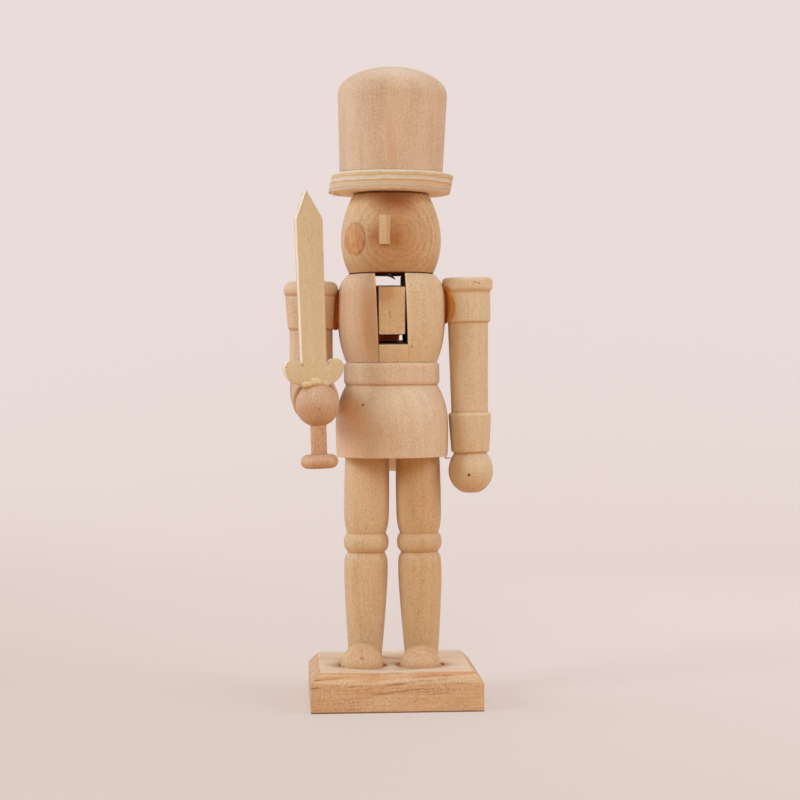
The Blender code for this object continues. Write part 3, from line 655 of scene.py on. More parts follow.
def levels(low, high, edge, rows, turns=6):
    """Heights from low to high, with how far each slice shrinks to round the two end edges.

    At each end a slice shrinks by edge * (1 - sin a) while it moves on by edge * (1 - cos a).
    """
    angle = np.linspace(0, math.pi / 2, turns)
    rise, shrink = edge * (1 - np.cos(angle)), edge * (1 - np.sin(angle))
    middle = np.linspace(low + edge, high - edge, rows + 2)[1:-1]
    height = np.concatenate([low + rise, middle, (high - rise)[::-1]])
    return height, np.concatenate([shrink, np.zeros(rows), shrink[::-1]])


def eased(rings, soft):
    """Rounds the corners of each slice: a bell-weighted mean over a few neighbours along the slice."""
    return sum(np.roll(rings, step, axis=1) * weight for step, weight in zip(range(-2, 3), bell(2, soft)))


def chest_half(side, wall):
    """Slices of one half: x = side * R * sin(a), y = -R * cos(a) from wall to wall, then straight back."""
    z, shrink = levels(CHEST_SEAT, NECK, CUT_EDGE, int((NECK - CHEST_SEAT) / SLICE) - 2)
    z, shrink = z[:, None], shrink[:, None]
    radius = chest_radius(z) - shrink
    edge = side * wall_at(wall, z) + shrink
    start_angle = np.arcsin(edge / radius)
    angle = start_angle + (math.pi - 2 * start_angle) * np.linspace(0, 1, ARC_COLUMNS)
    across = np.minimum(radius * np.sin(angle), SHOULDER_X - shrink)
    depth = -radius * np.cos(angle)
    back = np.linspace(1, -1, WALL_COLUMNS + 2)[1:-1] * radius * np.cos(start_angle)
    across = np.concatenate([across, np.broadcast_to(edge, back.shape)], axis=1)
    depth = np.concatenate([depth, back], axis=1)
    rings = np.stack([side * across, depth, np.broadcast_to(z, depth.shape)], axis=-1)
    column = np.arange(rings.shape[1])
    # The slot's walls carry the cut mark, which paints them with shade.
    shaded_wall_mark = np.where(column >= ARC_COLUMNS + 1, 1.0, 0.0)
    # Pale bands along the slot's edges are painted highlight; the shoulder's flat is pale sawn wood.
    corner = np.minimum(np.abs(column - ARC_COLUMNS), np.minimum(column, len(column) - column))
    lip_highlight_mark = np.exp(-0.5 * (corner / CORNER_WIDTH) ** 2)
    flat_mark = np.where(across > SHOULDER_X - FLAT_NEAR, FLAT_WEAR, 0.0)
    open_slot = np.clip((z - CHEST_FOOT - FILLER_H) / MM + 1, 0, 1)
    marks = {"cut": open_slot * shaded_wall_mark, "edge": open_slot * lip_highlight_mark + flat_mark}
    return eased(rings, CORNER_SOFT), marks


SHADE_BY_SLOT = (377, 318)
SPECK_R, SHADE_BY_SLOT_R = CHEST_R - 0.7 * MM, CHEST_R - MM
JAW_SPECKS = [((412, 347), (0.5, 1.0, 0.9)), ((427, 353), (0.5, 1.0, 0.4))]
specks = [(seen_on(*place, SPECK_R), size, SAWN, 0.8) for place, size in JAW_SPECKS]
# A darker patch beside the slot on the chest's right half is painted shade, from the sword and the slot.
shade_by_slot = (seen_on(*SHADE_BY_SLOT, SHADE_BY_SLOT_R), (6.5, 9.0, 18.0), tone(196, 150, 110), 0.7)
# SLOT_SHADE is a deep brown: painted shade on the slot's walls, on the head's underside and along the brim.
SLOT_SHADE = tone(110, 48, 14)
slot_walls_shaded = {"sawn": SLOT_SHADE, "depth": 0.95, "shine": 0.15}
chest_woods = {
    "chest_right_half": bare_wood(
        "chest_right_half_finish", BLUSH, spots=[shade_by_slot], pith=(-30, 34), shift=10, **slot_walls_shaded
    ),
    "chest_left_half": bare_wood(
        "chest_left_half_finish", spots=specks, pith=(36, 20), shift=90, **slot_walls_shaded
    ),
}
for side, node, wall in ((-1, "chest_right_half", RIGHT_WALL), (1, "chest_left_half", LEFT_WALL)):
    rings, marks = chest_half(side, wall)
    dress(node, rings, chest_woods[node], marks, flat_ends=True)

SEAM = 0.14 * MM
FILLER_EDGE, FILLER_ROWS, FILLER_COLUMNS = 0.06, 14, 48


def filler_block():
    """Slices between the two walls; the top slopes up from front to back, so z grows with depth."""
    share, shrink = levels(0, 1, FILLER_EDGE, FILLER_ROWS)
    share, shrink = share[:, None], shrink[:, None] / FILLER_EDGE * CUT_EDGE
    across = np.linspace(0, 1, FILLER_COLUMNS)
    across = np.concatenate([across, across[::-1]])
    facing = np.repeat([-1.0, 1.0], FILLER_COLUMNS)
    top = CHEST_FOOT + FILLER_H + FILLER_RISE * (facing + 1) / 2
    z = CHEST_SEAT + (top - CHEST_SEAT) * share
    low = wall_at(RIGHT_WALL, z) + SEAM + shrink
    high = wall_at(LEFT_WALL, z) + SEAM / 4 - shrink / 4
    x = low + (high - low) * across
    radius = chest_radius(z) - shrink
    return np.stack([x, facing * np.sqrt(radius**2 - x**2), z], axis=-1)


dress("chest_filler_block", filler_block(), chest_woods["chest_left_half"], flat_ends=True)

# %% [markdown]
# The jaw is the front end of a lever that runs through the slot and hangs down behind the coat. It
# is one piece of plank, sawn to an outline seen from the side, with its edges eased and its front
# rounded like the chest. The outline is carried across the plank's thickness.

# %% Jaw lever
LEVER_LOW, LEVER_HIGH = span("jaw_lever")
JAW_R = 16.5 * MM
JAW_H = 14.6 * MM
JAW_FLOOR = LEVER_HIGH[2] - JAW_H
TAIL_THICK, TAIL_SHOULDER = 5.7 * MM, 5.0 * MM
TAIL_BACK = LEVER_HIGH[1]
TAIL_FRONT = TAIL_BACK - TAIL_THICK
PIN_R, PIN_Y, PIN_Z = 1.55 * MM, 2.0 * MM, 121.0 * MM
JAW_BEVEL, JAW_SPARE, BAR_RISE = 0.6 * MM, 1 * MM, 0.055
JAW_WIDER = 0.3 * MM
JAW_STREAK, JAW_CLOUD = (390, 314), (384, 293)


def stacked(slices, level):
    """Slices[row, column, two coordinates] with a third coordinate, which is one level for each row."""
    third = np.broadcast_to(level[:, None, None], slices.shape[:2] + (1,))
    return np.concatenate([slices, third], axis=-1)


def plank(outline, low, high, edge, rows):
    """Rings of a closed outline carried from low to high, its two long edges rounded.

    Near each end the outline shrinks along its own normals. The last coordinate of a point is its place
    across the plank. Also returns how far each row shrinks, as a share of the edge.
    """
    ahead = np.roll(outline, -1, axis=0) - np.roll(outline, 1, axis=0)
    normal = np.stack([ahead[:, 1], -ahead[:, 0]], axis=-1)
    normal /= np.linalg.norm(normal, axis=1, keepdims=True)
    normal *= np.sign(np.sum((outline - outline.mean(axis=0)) * normal))
    across, shrink = levels(low, high, edge, rows, turns=5)
    slices = outline[None] - shrink[:, None, None] * normal[None]
    return stacked(slices, across), np.broadcast_to(shrink[:, None] / edge, slices.shape[:2])


def bored(piece, rings):
    """Takes the solid inside the rings out of a piece, as a drill would."""
    drill = skin("drill", rings)
    boolean = piece.modifiers.new("bore", "BOOLEAN")
    boolean.object = drill
    boolean.solver = "EXACT"
    graph = bpy.context.evaluated_depsgraph_get()
    mesh = bpy.data.meshes.new_from_object(piece.evaluated_get(graph), depsgraph=graph)
    piece.modifiers.clear()
    piece.data = mesh
    bpy.data.objects.remove(drill, do_unlink=True)


def lever_line():
    """The lever from the side, as (y, z): the jaw, the bar's lower edge, the tail and the round shoulder."""
    front = -JAW_R - JAW_SPARE
    tail_mid = (TAIL_FRONT + TAIL_THICK / 2, LEVER_LOW[2] + TAIL_THICK / 2)
    tail_end = arc(tail_mid, TAIL_THICK / 2, 180, 360)
    shoulder = arc((TAIL_BACK - TAIL_SHOULDER, LEVER_HIGH[2] - TAIL_SHOULDER), TAIL_SHOULDER, 0, 90)
    bar = [(front, LEVER_HIGH[2]), (front, JAW_FLOOR), (TAIL_FRONT, JAW_FLOOR)]
    return path(bar, tail_end, shoulder)


outline = sanded(lever_line(), 0.3 * MM, closed=True)
rings, bevel = plank(outline, LEVER_LOW[0], LEVER_HIGH[0], JAW_BEVEL, rows=12)
y, z, x = (rings[..., axis] for axis in range(3))
front = -np.sqrt(JAW_R**2 - x**2) + bevel * JAW_BEVEL
upper = np.clip((z - JAW_FLOOR) / JAW_H, 0, 1)
x = x + JAW_WIDER * upper * (x - LEVER_LOW[0]) / (LEVER_HIGH[0] - LEVER_LOW[0])
z = z + BAR_RISE * np.maximum(y + JAW_R, 0) * upper
rounded = np.stack([x, np.maximum(y, front), z], axis=-1)
# The pale band along the lever's rounded edges is painted highlight.
lever = skin("jaw_lever_wood", rounded, {"edge": 4 * bevel * (1 - bevel)}, flat_ends=True)
pin_hole = path((0, -2 * JAW_H), (PIN_R, -2 * JAW_H), (PIN_R, 2 * JAW_H), (0, 2 * JAW_H))
hole, _ = lathe(pin_hole, soft=0.05 * MM, step=1 * MM, columns=48, uneven=0)
bored(lever, carried(hole, (0, PIN_Y, PIN_Z), turn_about("Y", 90)))
streak = (seen_on(*JAW_STREAK, JAW_R), (0.5, 1.5, 1.8), SAWN, 0.5)
cloud = (seen_on(*JAW_CLOUD, JAW_R), (5.0, 2.0, 5.0), tone(186, 126, 78), 0.6)
# The near-white spot at the tail's foot is painted light on the tail, which hangs in shade between the legs;
# the dark brown spot at the tail's top is painted shade below the jaw.
tail_end = ((0, TAIL_FRONT, LEVER_LOW[2]), (8.0, 5.0, 14.0), tone(255, 250, 244), 1.0)
shade_below_jaw = ((0, TAIL_FRONT, JAW_FLOOR), (9.0, 3.0, 7.0), tone(150, 62, 14), 1.0)
lever_spots = [streak, cloud, tail_end, shade_below_jaw]
jaw_wood = bare_wood("jaw_lever_finish", AMBER, spots=lever_spots, shine=0.3, pith=(14, 60), shift=40)
settle(lever, jaw_wood, nodes=["jaw_lever"], body=LEVER)

# %% [markdown]
# The head is a turned ball, flat above and below, left blank apart from a square stick for a nose.
# Its wood is warmer than the rest. The block was cut close to the outside of the tree, so the rings
# circle the middle of the face, and an orange knot with a cracked rim shows on its right cheek.

# %% Head and nose
HEAD_FOOT, HEAD_TOP = heights("head")
HEAD_H = HEAD_TOP - HEAD_FOOT
HEAD_DROP = NECK + HAIR - HEAD_FOOT
HEAD_R, HEAD_PEAK, CHIN_R, BROW_R = 15.8 * MM, 10.4 * MM, 13.2 * MM, 11.75 * MM
NOSE_W, NOSE_H, NOSE_PROUD, NOSE_SUNK = 2.3 * MM, 9.0 * MM, 2.6 * MM, 2.0 * MM
NOSE_LOW, SAWN_EDGE = 8.3 * MM, 0.15 * MM
NOSE_TURN, NOSE_TWIST = -8.4, -18
KNOT, KNOT_SIZE = (353.5, 239), (4.1, 7.0, 5.4)
HEART, HEART_SIZE = (400, 234), (15.0, 15.0, 14.0)
BY_NOSE, BY_NOSE_SIZE = (396, 238), (4.0, 6.0, 5.0)
BESIDE, BESIDE_SIZE = (376, 236), (3.0, 6.0, 4.5)
BRIM_SHADOW, BRIM_SHADOW_SIZE = (394, 203), (11.0, 9.0, 6.0)


def off(place, pixel, size, radius=HEAD_R):
    """Distance from where a place in the picture lies on a turning, as a share of a size for each axis."""
    return place.away(tuple(seen_on(*pixel, radius) / MM), size)


def head_finish():
    """Warm wood with rings about the face's middle, darker patches by the nose, painted shade under the brim,
    on the underside and towards the chin, and a knot.

    The knot is an oval of streaks, with a dark rim where it came loose.
    """
    material, place = start("head_finish")
    colour, height = grain(place, HONEY, pith=(3, 31), shift=12, ring=1.9, rings=0.17, bend=1.0)
    wander = place.noise((0.5, 0.5, 0.5), 2)
    speckle = place.noise((1.4, 1.4, 1.1), 3, 0.7)
    around = off(place, HEART, HEART_SIZE)
    colour = (around.between(1.0, 0.2) * 0.7).mixed(colour, tone(186, 130, 80))
    wave = (around * 7 + wander * 1.6) * TURN
    arcs = wave.math("SINE").between(-0.2, 1.0) * around.between(1.5, 0.6) * speckle.between(0.3, 0.6)
    colour = (arcs * 0.3).mixed(colour, tone(160, 100, 54))
    knot = off(place, KNOT, KNOT_SIZE) + wander * 0.3 - 0.15
    streaked = place.noise((0.9, 0.9, 0.25), 3, 0.6).between(0.35, 0.65)
    inner = streaked.mixed(tone(210, 154, 103), tone(182, 121, 70))
    inside = knot.between(1.0, 0.9)
    knot_x = seen_on(*KNOT, HEAD_R)[0] / MM
    loose = place.part("X").between(knot_x - 1, knot_x + 2)
    rim = knot.between(0.82, 0.96) * knot.between(1.1, 0.98) * loose
    patch = off(place, BY_NOSE, BY_NOSE_SIZE).between(1.0, 0.0)
    beside = off(place, BESIDE, BESIDE_SIZE).between(1.0, 0.0)
    streaky = speckle.between(0.25, 0.65) * 0.5 + 0.5
    colour = (patch.math("MAXIMUM", beside) * streaky * 0.8).mixed(colour, tone(168, 98, 46))
    # Painted shade on the top of the head, under the brim.
    brim_shadow = off(place, BRIM_SHADOW, BRIM_SHADOW_SIZE, BROW_R).between(1.0, 0.1)
    colour = (brim_shadow * 0.85).mixed(colour, tone(146, 80, 32))
    colour = (inside * 0.85).mixed(colour, inner)
    colour = (rim * wander.between(0.35, 0.6) * 0.7).mixed(colour, tone(140, 82, 44))
    level, foot, top = place.part("Z"), HEAD_FOOT / MM, HEAD_TOP / MM
    # Painted shade towards the chin.
    chin_shade = level.between(foot + 8, foot)
    colour = (chin_shade * 0.5).mixed(colour, tone(176, 120, 74))
    # Painted shade on the head's flat underside, and in a line where the head's top meets the brim.
    under = level.between(foot + 0.2, foot)
    brim_contact_shade = level.between(top - 0.9, top - 0.3)
    colour = under.math("MAXIMUM", brim_contact_shade * 0.8).mixed(colour, SLOT_SHADE)
    return finish(material, colour, height * 0.2 + 0.48 + under * 0.5, height - rim, shine=0.25)


ball = swell((CHIN_R, HEAD_DROP), (HEAD_R, HEAD_PEAK), (BROW_R, HEAD_H), (2, 2))
rings, _ = lathe(path((0, HEAD_DROP), ball, (0, HEAD_H)), seed=41)
dress("head", carried(rings, (0, 0, HEAD_FOOT)), head_finish(), slot="head_wood")

half = NOSE_W / 2
corners = path((-half, -NOSE_PROUD), (half, -NOSE_PROUD), (half, NOSE_SUNK), (-half, NOSE_SUNK))
outline = sanded(corners, 0.1 * MM, 0.15 * MM, closed=True)
stick, _ = plank(outline, 0, NOSE_H, SAWN_EDGE, rows=10)
stick = carried(stick, (0, -HEAD_R, HEAD_FOOT + NOSE_LOW), turn_about("Z", NOSE_TWIST))
stick = carried(stick, (0, 0, 0), turn_about("Z", NOSE_TURN))
nose_wood = bare_wood("nose_finish", AMBER, pith=(10, 20), shift=77)
dress("nose", stick, nose_wood, flat_ends=True)

# %% [markdown]
# The hat is a plywood disc and a turned crown with a domed top. They were glued on a degree off level,
# so both are tipped about the middle of the brim's underside. The disc was sawn with the blade aslant,
# so its top lies a millimetre to one side of its bottom. A plywood edge is a stack of veneers:
# those whose grain runs across show their pale end grain, the others are tan. Each point carries its
# height in the board, and the material turns that into layers. The underside's points are marked
# below the lowest layer, so that all of it takes the first tone.

# %% Hat
BRIM_FOOT, BRIM_TOP = heights("hat_brim")
BRIM_T = BRIM_TOP - BRIM_FOOT
BRIM_R, BRIM_EDGE = 19.25 * MM, 0.4 * MM
CROWN_FOOT, CROWN_TOP = heights("hat_crown")
CROWN_DROP = BRIM_TOP + HAIR - CROWN_FOOT
CROWN_SHORTER = 0.4 * MM
CROWN_H = CROWN_TOP - CROWN_FOOT - CROWN_SHORTER
CROWN_FOOT_R, CROWN_R, CROWN_DOME = 16.3 * MM, 17.3 * MM, 8.7 * MM
BRIM_TIP, CROWN_TIP = turn_about("Y", 0.7), turn_about("Y", 1.25)
BRIM_SHEAR, BRIM_DROP = 1.1 * MM, 0.2 * MM
PAINTED_LIGHT_UNDERSIDE = 0.15
CROWN_PITS = [(421, 77), (437, 82)]
PIT_R, FLAME_R = CROWN_R - 0.6 * MM, CROWN_R - 0.2 * MM
CROWN_FLAMES = [((361, 152), 9.0), ((389, 140), 13.0), ((394, 158), 8.0), ((431, 140), 12.0)]


def tipped(rings, foot, tip):
    """Puts a hat piece at its height and tips it about the middle of the brim's underside."""
    return carried(carried(rings, (0, 0, foot - BRIM_FOOT)), (0, 0, BRIM_FOOT), tip)


def plywood(name, layers, face, spread=0.2, turn=(0, 90, 0), spots=()):
    """Plywood: its edge is a ramp over the height in the board, and points marked as face show a veneer."""
    material, place = start(name)
    veneer, height = grain(place, face, turn=turn, pith=(0, 70), mottle=0.7, flecks=0.3)
    torn = place.noise((0.22, 0.22, 0.5), 3, 0.65) - 0.5
    level = painted(place, "layer") + torn * spread
    edge = level.ramp(layers)
    speckle = place.noise((1.6, 1.6, 3.0), 3, 0.7)
    edge = (speckle.between(0.5, 0.75) * 0.4).mixed(edge, tone(176, 130, 88))
    colour = spotted(painted(place, "face").mixed(edge, veneer), place, spots)
    steps = (level * 40).math("SINE") * 0.6
    return finish(material, colour, speckle * 0.2 + 0.6, height + speckle + steps)


BRIM_LAYERS = [
    (0.0, tone(246, 234, 220)), (0.05, tone(202, 171, 145)), (0.21, tone(210, 186, 162)),
    (0.37, tone(220, 190, 157)), (0.41, tone(208, 172, 128)), (0.50, tone(206, 172, 134)),
    (0.55, tone(222, 209, 195)), (0.67, tone(222, 207, 190)), (0.73, tone(206, 170, 128)),
    (0.80, tone(215, 188, 152)), (0.90, tone(216, 189, 154)), (0.95, tone(236, 233, 225)),
    (1.0, tone(236, 228, 214)),
]
rim = path((0, -BRIM_DROP), (BRIM_R, -BRIM_DROP), (BRIM_R, BRIM_T), (0, BRIM_T))
rings, _ = lathe(rim, soft=0.16 * MM, step=0.2 * MM, seed=51, uneven=0.05 * MM)
layer = (rings[..., 2] + BRIM_DROP) / (BRIM_T + BRIM_DROP)
inside = np.linalg.norm(rings[..., :2], axis=-1) < BRIM_R - BRIM_EDGE
rings[..., 0] += (layer - 0.5) * BRIM_SHEAR
flat_part = inside & (layer > 0.5)
# The underside's points take the first, palest tone: painted light on the shaded underside.
layer = layer - PAINTED_LIGHT_UNDERSIDE * (inside & (layer < 0.5))
marks = {"layer": layer, "face": flat_part.astype(float)}
brim_wood = plywood("hat_brim_finish", BRIM_LAYERS, BEECH)
dress("hat_brim", tipped(rings, BRIM_FOOT, BRIM_TIP), brim_wood, marks, slot="plywood")

dome = arc((0, 0), CROWN_R, 0, 90) * np.array([1, CROWN_DOME / CROWN_R]) + np.array([0, CROWN_H - CROWN_DOME])
crown_line = path((0, CROWN_DROP), (CROWN_FOOT_R, CROWN_DROP), dome)
rings, _ = lathe(crown_line, soft=0.3 * MM, seed=52)
pits = [(seen_on(*pit, PIT_R), (0.6, 2.0, 0.4), SAWN, 0.9) for pit in CROWN_PITS]
flames = [
    (seen_on(*flame, FLAME_R), (1.2, 6.0, length), tone(208, 154, 104), 0.35)
    for flame, length in CROWN_FLAMES
]
crown_wood = bare_wood(
    "hat_crown_finish", DUSKY, spots=pits + flames, pith=(6, 44), shift=210, rings=0.12, ring=7.0, fibre=0.5,
)
dress("hat_crown", tipped(rings, CROWN_FOOT, CROWN_TIP), crown_wood)

# %% [markdown]
# The straight arm is one turning from its cap to its hand, a ball that was parted from the stock at a
# small flat below. Where the arm meets the chest its cap is sanded flat, and a shallow facet is pared
# off the sleeve's front so that it clears the chest's curve. A parer's cut is deepest in the middle,
# so the facet's plane bows out towards its ends. The arm piece also stands for the dowel at its
# shoulder, which the glued joint hides.

# %% Left arm
ARM_PLANE = 16.9 * MM
LEFT_X, LEFT_TOP, LEFT_LEAN = 24.15 * MM, 133.2 * MM, -0.75
CAP_R, CAP_H, SLEEVE_R, SLEEVE_H = 8.0 * MM, 4.8 * MM, 7.15 * MM, 9.3 * MM
SHAFT_R, SHAFT_H, WRIST_R = 6.4 * MM, 28.5 * MM, 5.8 * MM
CUFF_TOP_R, CUFF_LOW_R, CUFF_H = 6.75 * MM, 6.05 * MM, 12.4 * MM
LEFT_HAND_R, LEFT_HAND_LOW, LEFT_HAND_MID = 7.05 * MM, 7.2 * MM, 6.2 * MM
LEFT_NECK_R, HAND_GROOVE, PARTING_ANGLE = 5.1 * MM, 0.4 * MM, -70
FACET_TURN, FACET_BACK, CAP_FLARE = 26, 0.2 * MM, 0.3
HAND_PINHOLE, HAND_PINHOLE_R = (469, 475), LEFT_HAND_R - 0.2 * MM
LEFT_HAND_X = LEFT_X + 1.1 * MM
CAP_PITS = [(475, 282), (478.7, 283)]
LIT_FACET_PLACE = (447.5, 305)


def band_edge(radius, level, soft, sweep):
    """A band's rounded edge, an arc of sweep degrees: the lower edge if below zero, or else the upper one."""
    centre = (radius - soft, level - math.copysign(soft, sweep))
    return arc(centre, soft, min(sweep, 0), max(sweep, 0))


def left_arm_line():
    """The arm from the hand up: ball, cuff, shaft, sleeve and cap, joined by rounded steps.

    The ball is two quarter ellipses of one radius. The lower starts at the parting flat.
    """
    sleeve_top = -CAP_H
    shaft_top = sleeve_top - SLEEVE_H
    cuff_top = shaft_top - SHAFT_H
    wrist = cuff_top - CUFF_H
    neck = math.acos(LEFT_NECK_R / LEFT_HAND_R)
    tall = (LEFT_HAND_MID - HAND_GROOVE) / math.sin(neck)
    under = arc((0, 0), 1, PARTING_ANGLE, 0) * np.array([LEFT_HAND_R, LEFT_HAND_LOW])
    over = arc((0, 0), 1, 0, math.degrees(neck))[1:] * np.array([LEFT_HAND_R, tall])
    hand = path((0, under[0, 1]), under, over) + np.array([0, wrist - LEFT_HAND_MID])
    cuff_edge = band_edge(CUFF_TOP_R, cuff_top, 0.9 * MM, 80)
    sleeve_edge = band_edge(SLEEVE_R, shaft_top, 0.6 * MM, -80)
    cap_low = band_edge(CAP_R, sleeve_top + 0.3 * MM, 1.6 * MM, -60)
    cap_high = band_edge(CAP_R, 0, 1.1 * MM, 90)
    groove = [(SLEEVE_R, sleeve_top - 0.7 * MM), (SLEEVE_R - 0.1 * MM, sleeve_top)]
    cuff = [(CUFF_LOW_R - 0.2 * MM, wrist), (CUFF_LOW_R, wrist + 0.3 * MM)]
    shaft = [(WRIST_R, cuff_top), (SHAFT_R, shaft_top)]
    return path(hand, cuff, cuff_edge, shaft, sleeve_edge, groove, cap_low, cap_high, (0, 0))


def facet(axis_x, sleeve, radius):
    """A pared facet: its direction, and its plane's distance from the arm's axis, bowed out at both ends."""
    turn = math.radians(FACET_TURN)
    deepest = (axis_x - ARM_PLANE) * math.cos(turn) - FACET_BACK * math.sin(turn)
    middle, half = (sleeve[0] + sleeve[1]) / 2, (sleeve[0] - sleeve[1]) / 2

    def distance(height):
        return deepest + (radius - deepest) * (np.abs(height - middle) / half) ** 2

    return 180 + FACET_TURN, distance


drift = math.tan(math.radians(-LEFT_LEAN))


def inner_flat(height):
    """The sanded flat's distance from the leaning arm's axis; it moves out towards the top of the cap."""
    return LEFT_X - ARM_PLANE - height * drift + CAP_FLARE * np.maximum(height + CAP_H, 0)


pared = facet(LEFT_X, (-CAP_H, -CAP_H - SLEEVE_H), SLEEVE_R)
rings, cut = lathe(left_arm_line(), seed=61, flats=((180, inner_flat), pared), columns=144)
marks = grooves_and_ridges(rings, cut)
rings = carried(rings, (LEFT_X, 0, LEFT_TOP), turn_about("Y", LEFT_LEAN))
pinhole = seen_on(*HAND_PINHOLE, HAND_PINHOLE_R, (LEFT_HAND_X, 0))
lit_facet = seen_on(*LIT_FACET_PLACE, SLEEVE_R, (LEFT_X, 0))
spots = [(seen_on(*pit, CAP_R, (LEFT_X, 0)), (0.5, 1.5, 0.35), SAWN, 0.9) for pit in CAP_PITS]
spots.append((pinhole, (0.65, 1.5, 0.65), PIT, 1))
# The pared facet faces the chest and lies in shade; its bright orange spot is painted light.
spots.append((lit_facet, (3.2, 6.0, 8.0), tone(250, 182, 84), 0.8))
arm_wood = bare_wood("left_arm_finish", BEECH, spots=spots, sawn=tone(196, 126, 66), pith=(44, 24), shift=150)
dress("left_arm", rings, arm_wood, marks, also=["left_shoulder_dowel"])

# %% [markdown]
# The sword arm is bent: two turnings meet in a mitre at the elbow. Each column of the turning is
# stretched until it meets the mitre's plane, so that both ends fit.

# %% Right arm
RIGHT_X, RIGHT_TOP = -25.4 * MM, 132.1 * MM
RIGHT_CAP_R, RIGHT_CAP_H = 8.6 * MM, 4.7 * MM
RIGHT_SLEEVE_TOP_R, RIGHT_SLEEVE_R, RIGHT_SLEEVE_H = 8.1 * MM, 7.4 * MM, 10.4 * MM
RIGHT_SHAFT_R, ELBOW_DROP = 6.8 * MM, 33.9 * MM
FOREARM_R, CUFF_R, CUFF_START, CUFF_END = 6.4 * MM, 7.2 * MM, 6.0 * MM, 19.0 * MM
HAND_R, HAND_REACH, HAND_NECK = 6.65 * MM, 25.6 * MM, 5.2 * MM
FOREARM_TIP, SOLID_INWARD, SEEN_INWARD = 100, 4.6, 3.7
HAND_HEART, HAND_CRACK = (315.5, 408), (313.5, 392.5)

up = np.array([0, 0, 1.0])
elbow = np.array([RIGHT_X, 0, RIGHT_TOP - ELBOW_DROP])
solid_forward = turn_about("Z", SOLID_INWARD) @ turn_about("X", FOREARM_TIP)
sword_foot = elbow + solid_forward @ up * HAND_REACH
forward = turn_about("Z", SEEN_INWARD) @ turn_about("X", FOREARM_TIP)
hand = elbow + forward @ up * HAND_REACH
mitre = forward @ up - up
mitre /= np.linalg.norm(mitre)


def mitred(rings, normal, shift, limit):
    """Moves points below a limit along Z so that the lowest ring lies on a plane.

    The plane is shifted along its normal from the origin, so its height over a point is
    (shift - x * nx - y * ny) / nz. Rows between are shared out evenly.
    """
    level = (shift - rings[..., 0] * normal[0] - rings[..., 1] * normal[1]) / normal[2]
    share = np.clip((rings[..., 2] - limit) / (rings[..., 2].min() - limit), 0, 1)
    moved = rings.copy()
    moved[..., 2] = np.where(share > 0, limit + (level - limit) * share, rings[..., 2])
    return moved


sleeve_top = ELBOW_DROP - RIGHT_CAP_H
shaft_top = sleeve_top - RIGHT_SLEEVE_H
upper_line = path(
    (RIGHT_SHAFT_R, 0), (RIGHT_SHAFT_R, shaft_top),
    band_edge(RIGHT_SLEEVE_R, shaft_top, 0.9 * MM, -70),
    (RIGHT_SLEEVE_TOP_R, sleeve_top - 0.3 * MM), (RIGHT_SLEEVE_TOP_R - 0.1 * MM, sleeve_top + 0.1 * MM),
    band_edge(RIGHT_CAP_R, sleeve_top - 0.1 * MM, 1.7 * MM, -50),
    band_edge(RIGHT_CAP_R, ELBOW_DROP, 2.4 * MM, 90), (0, ELBOW_DROP),
)
inner = (0, -RIGHT_X - ARM_PLANE)
rings, cut = lathe(upper_line, soft=0.2 * MM, seed=71, flats=(inner,), columns=144)
marks = grooves_and_ridges(rings, cut)
rings = mitred(rings, mitre, -HAIR, shaft_top - 1 * MM)
upper_wood = bare_wood("right_upper_arm_finish", BLUSH, pith=(-46, 20), shift=170)
dress("right_upper_arm", carried(rings, elbow), upper_wood, marks, also=["right_shoulder_dowel"])

SWORD_LEAN, SWORD_TURN = -1.7, 17
SWORD_FRAME = turn_about("Y", SWORD_LEAN) @ turn_about("Z", SWORD_TURN)
SEAT, BALL_MARGIN = 6.05 * MM, 0.3 * MM

fist = arc((0, HAND_REACH), HAND_R, -math.degrees(math.acos(HAND_NECK / HAND_R)), 90)
lower_line = path(
    (FOREARM_R, 0), (FOREARM_R, CUFF_START), band_edge(CUFF_R, CUFF_START, 0.8 * MM, -80),
    band_edge(CUFF_R, CUFF_END, 0.8 * MM, 80), (HAND_NECK, CUFF_END), fist,
)
rings, _ = lathe(lower_line, seed=72, columns=144)
marks = grooves_and_ridges(rings)
rings = mitred(rings, forward.T @ mitre, HAIR, CUFF_START - 0.5 * MM)
rings = carried(rings, elbow, forward)
local = (rings - hand) @ SWORD_FRAME
on_ball = np.linalg.norm(local, axis=-1) < HAND_R + BALL_MARGIN
local[..., 2] = np.where(on_ball, np.minimum(local[..., 2], SEAT), local[..., 2])
heart = seen_on(*HAND_HEART, HAND_R, hand[:2]) / MM
crack = (seen_on(*HAND_CRACK, HAND_R, hand[:2]), (0.4, 4.0, 2.6), tone(230, 196, 164), 0.5)
forearm_wood = bare_wood(
    "right_forearm_finish", TAWNY, spots=[crack], turn=(-90, 0, 0),
    pith=(heart[0], heart[2]), ring=1.1, rings=0.13, bend=0.7,
)
dress("right_forearm", carried(local, hand, SWORD_FRAME), forearm_wood, marks)

# %% [markdown]
# The sword is fretsawn from thin plywood: a flat outline with softened corners, carried through the
# board's thickness. Below the hand a turned peg with a mushroom head stands for the grip.

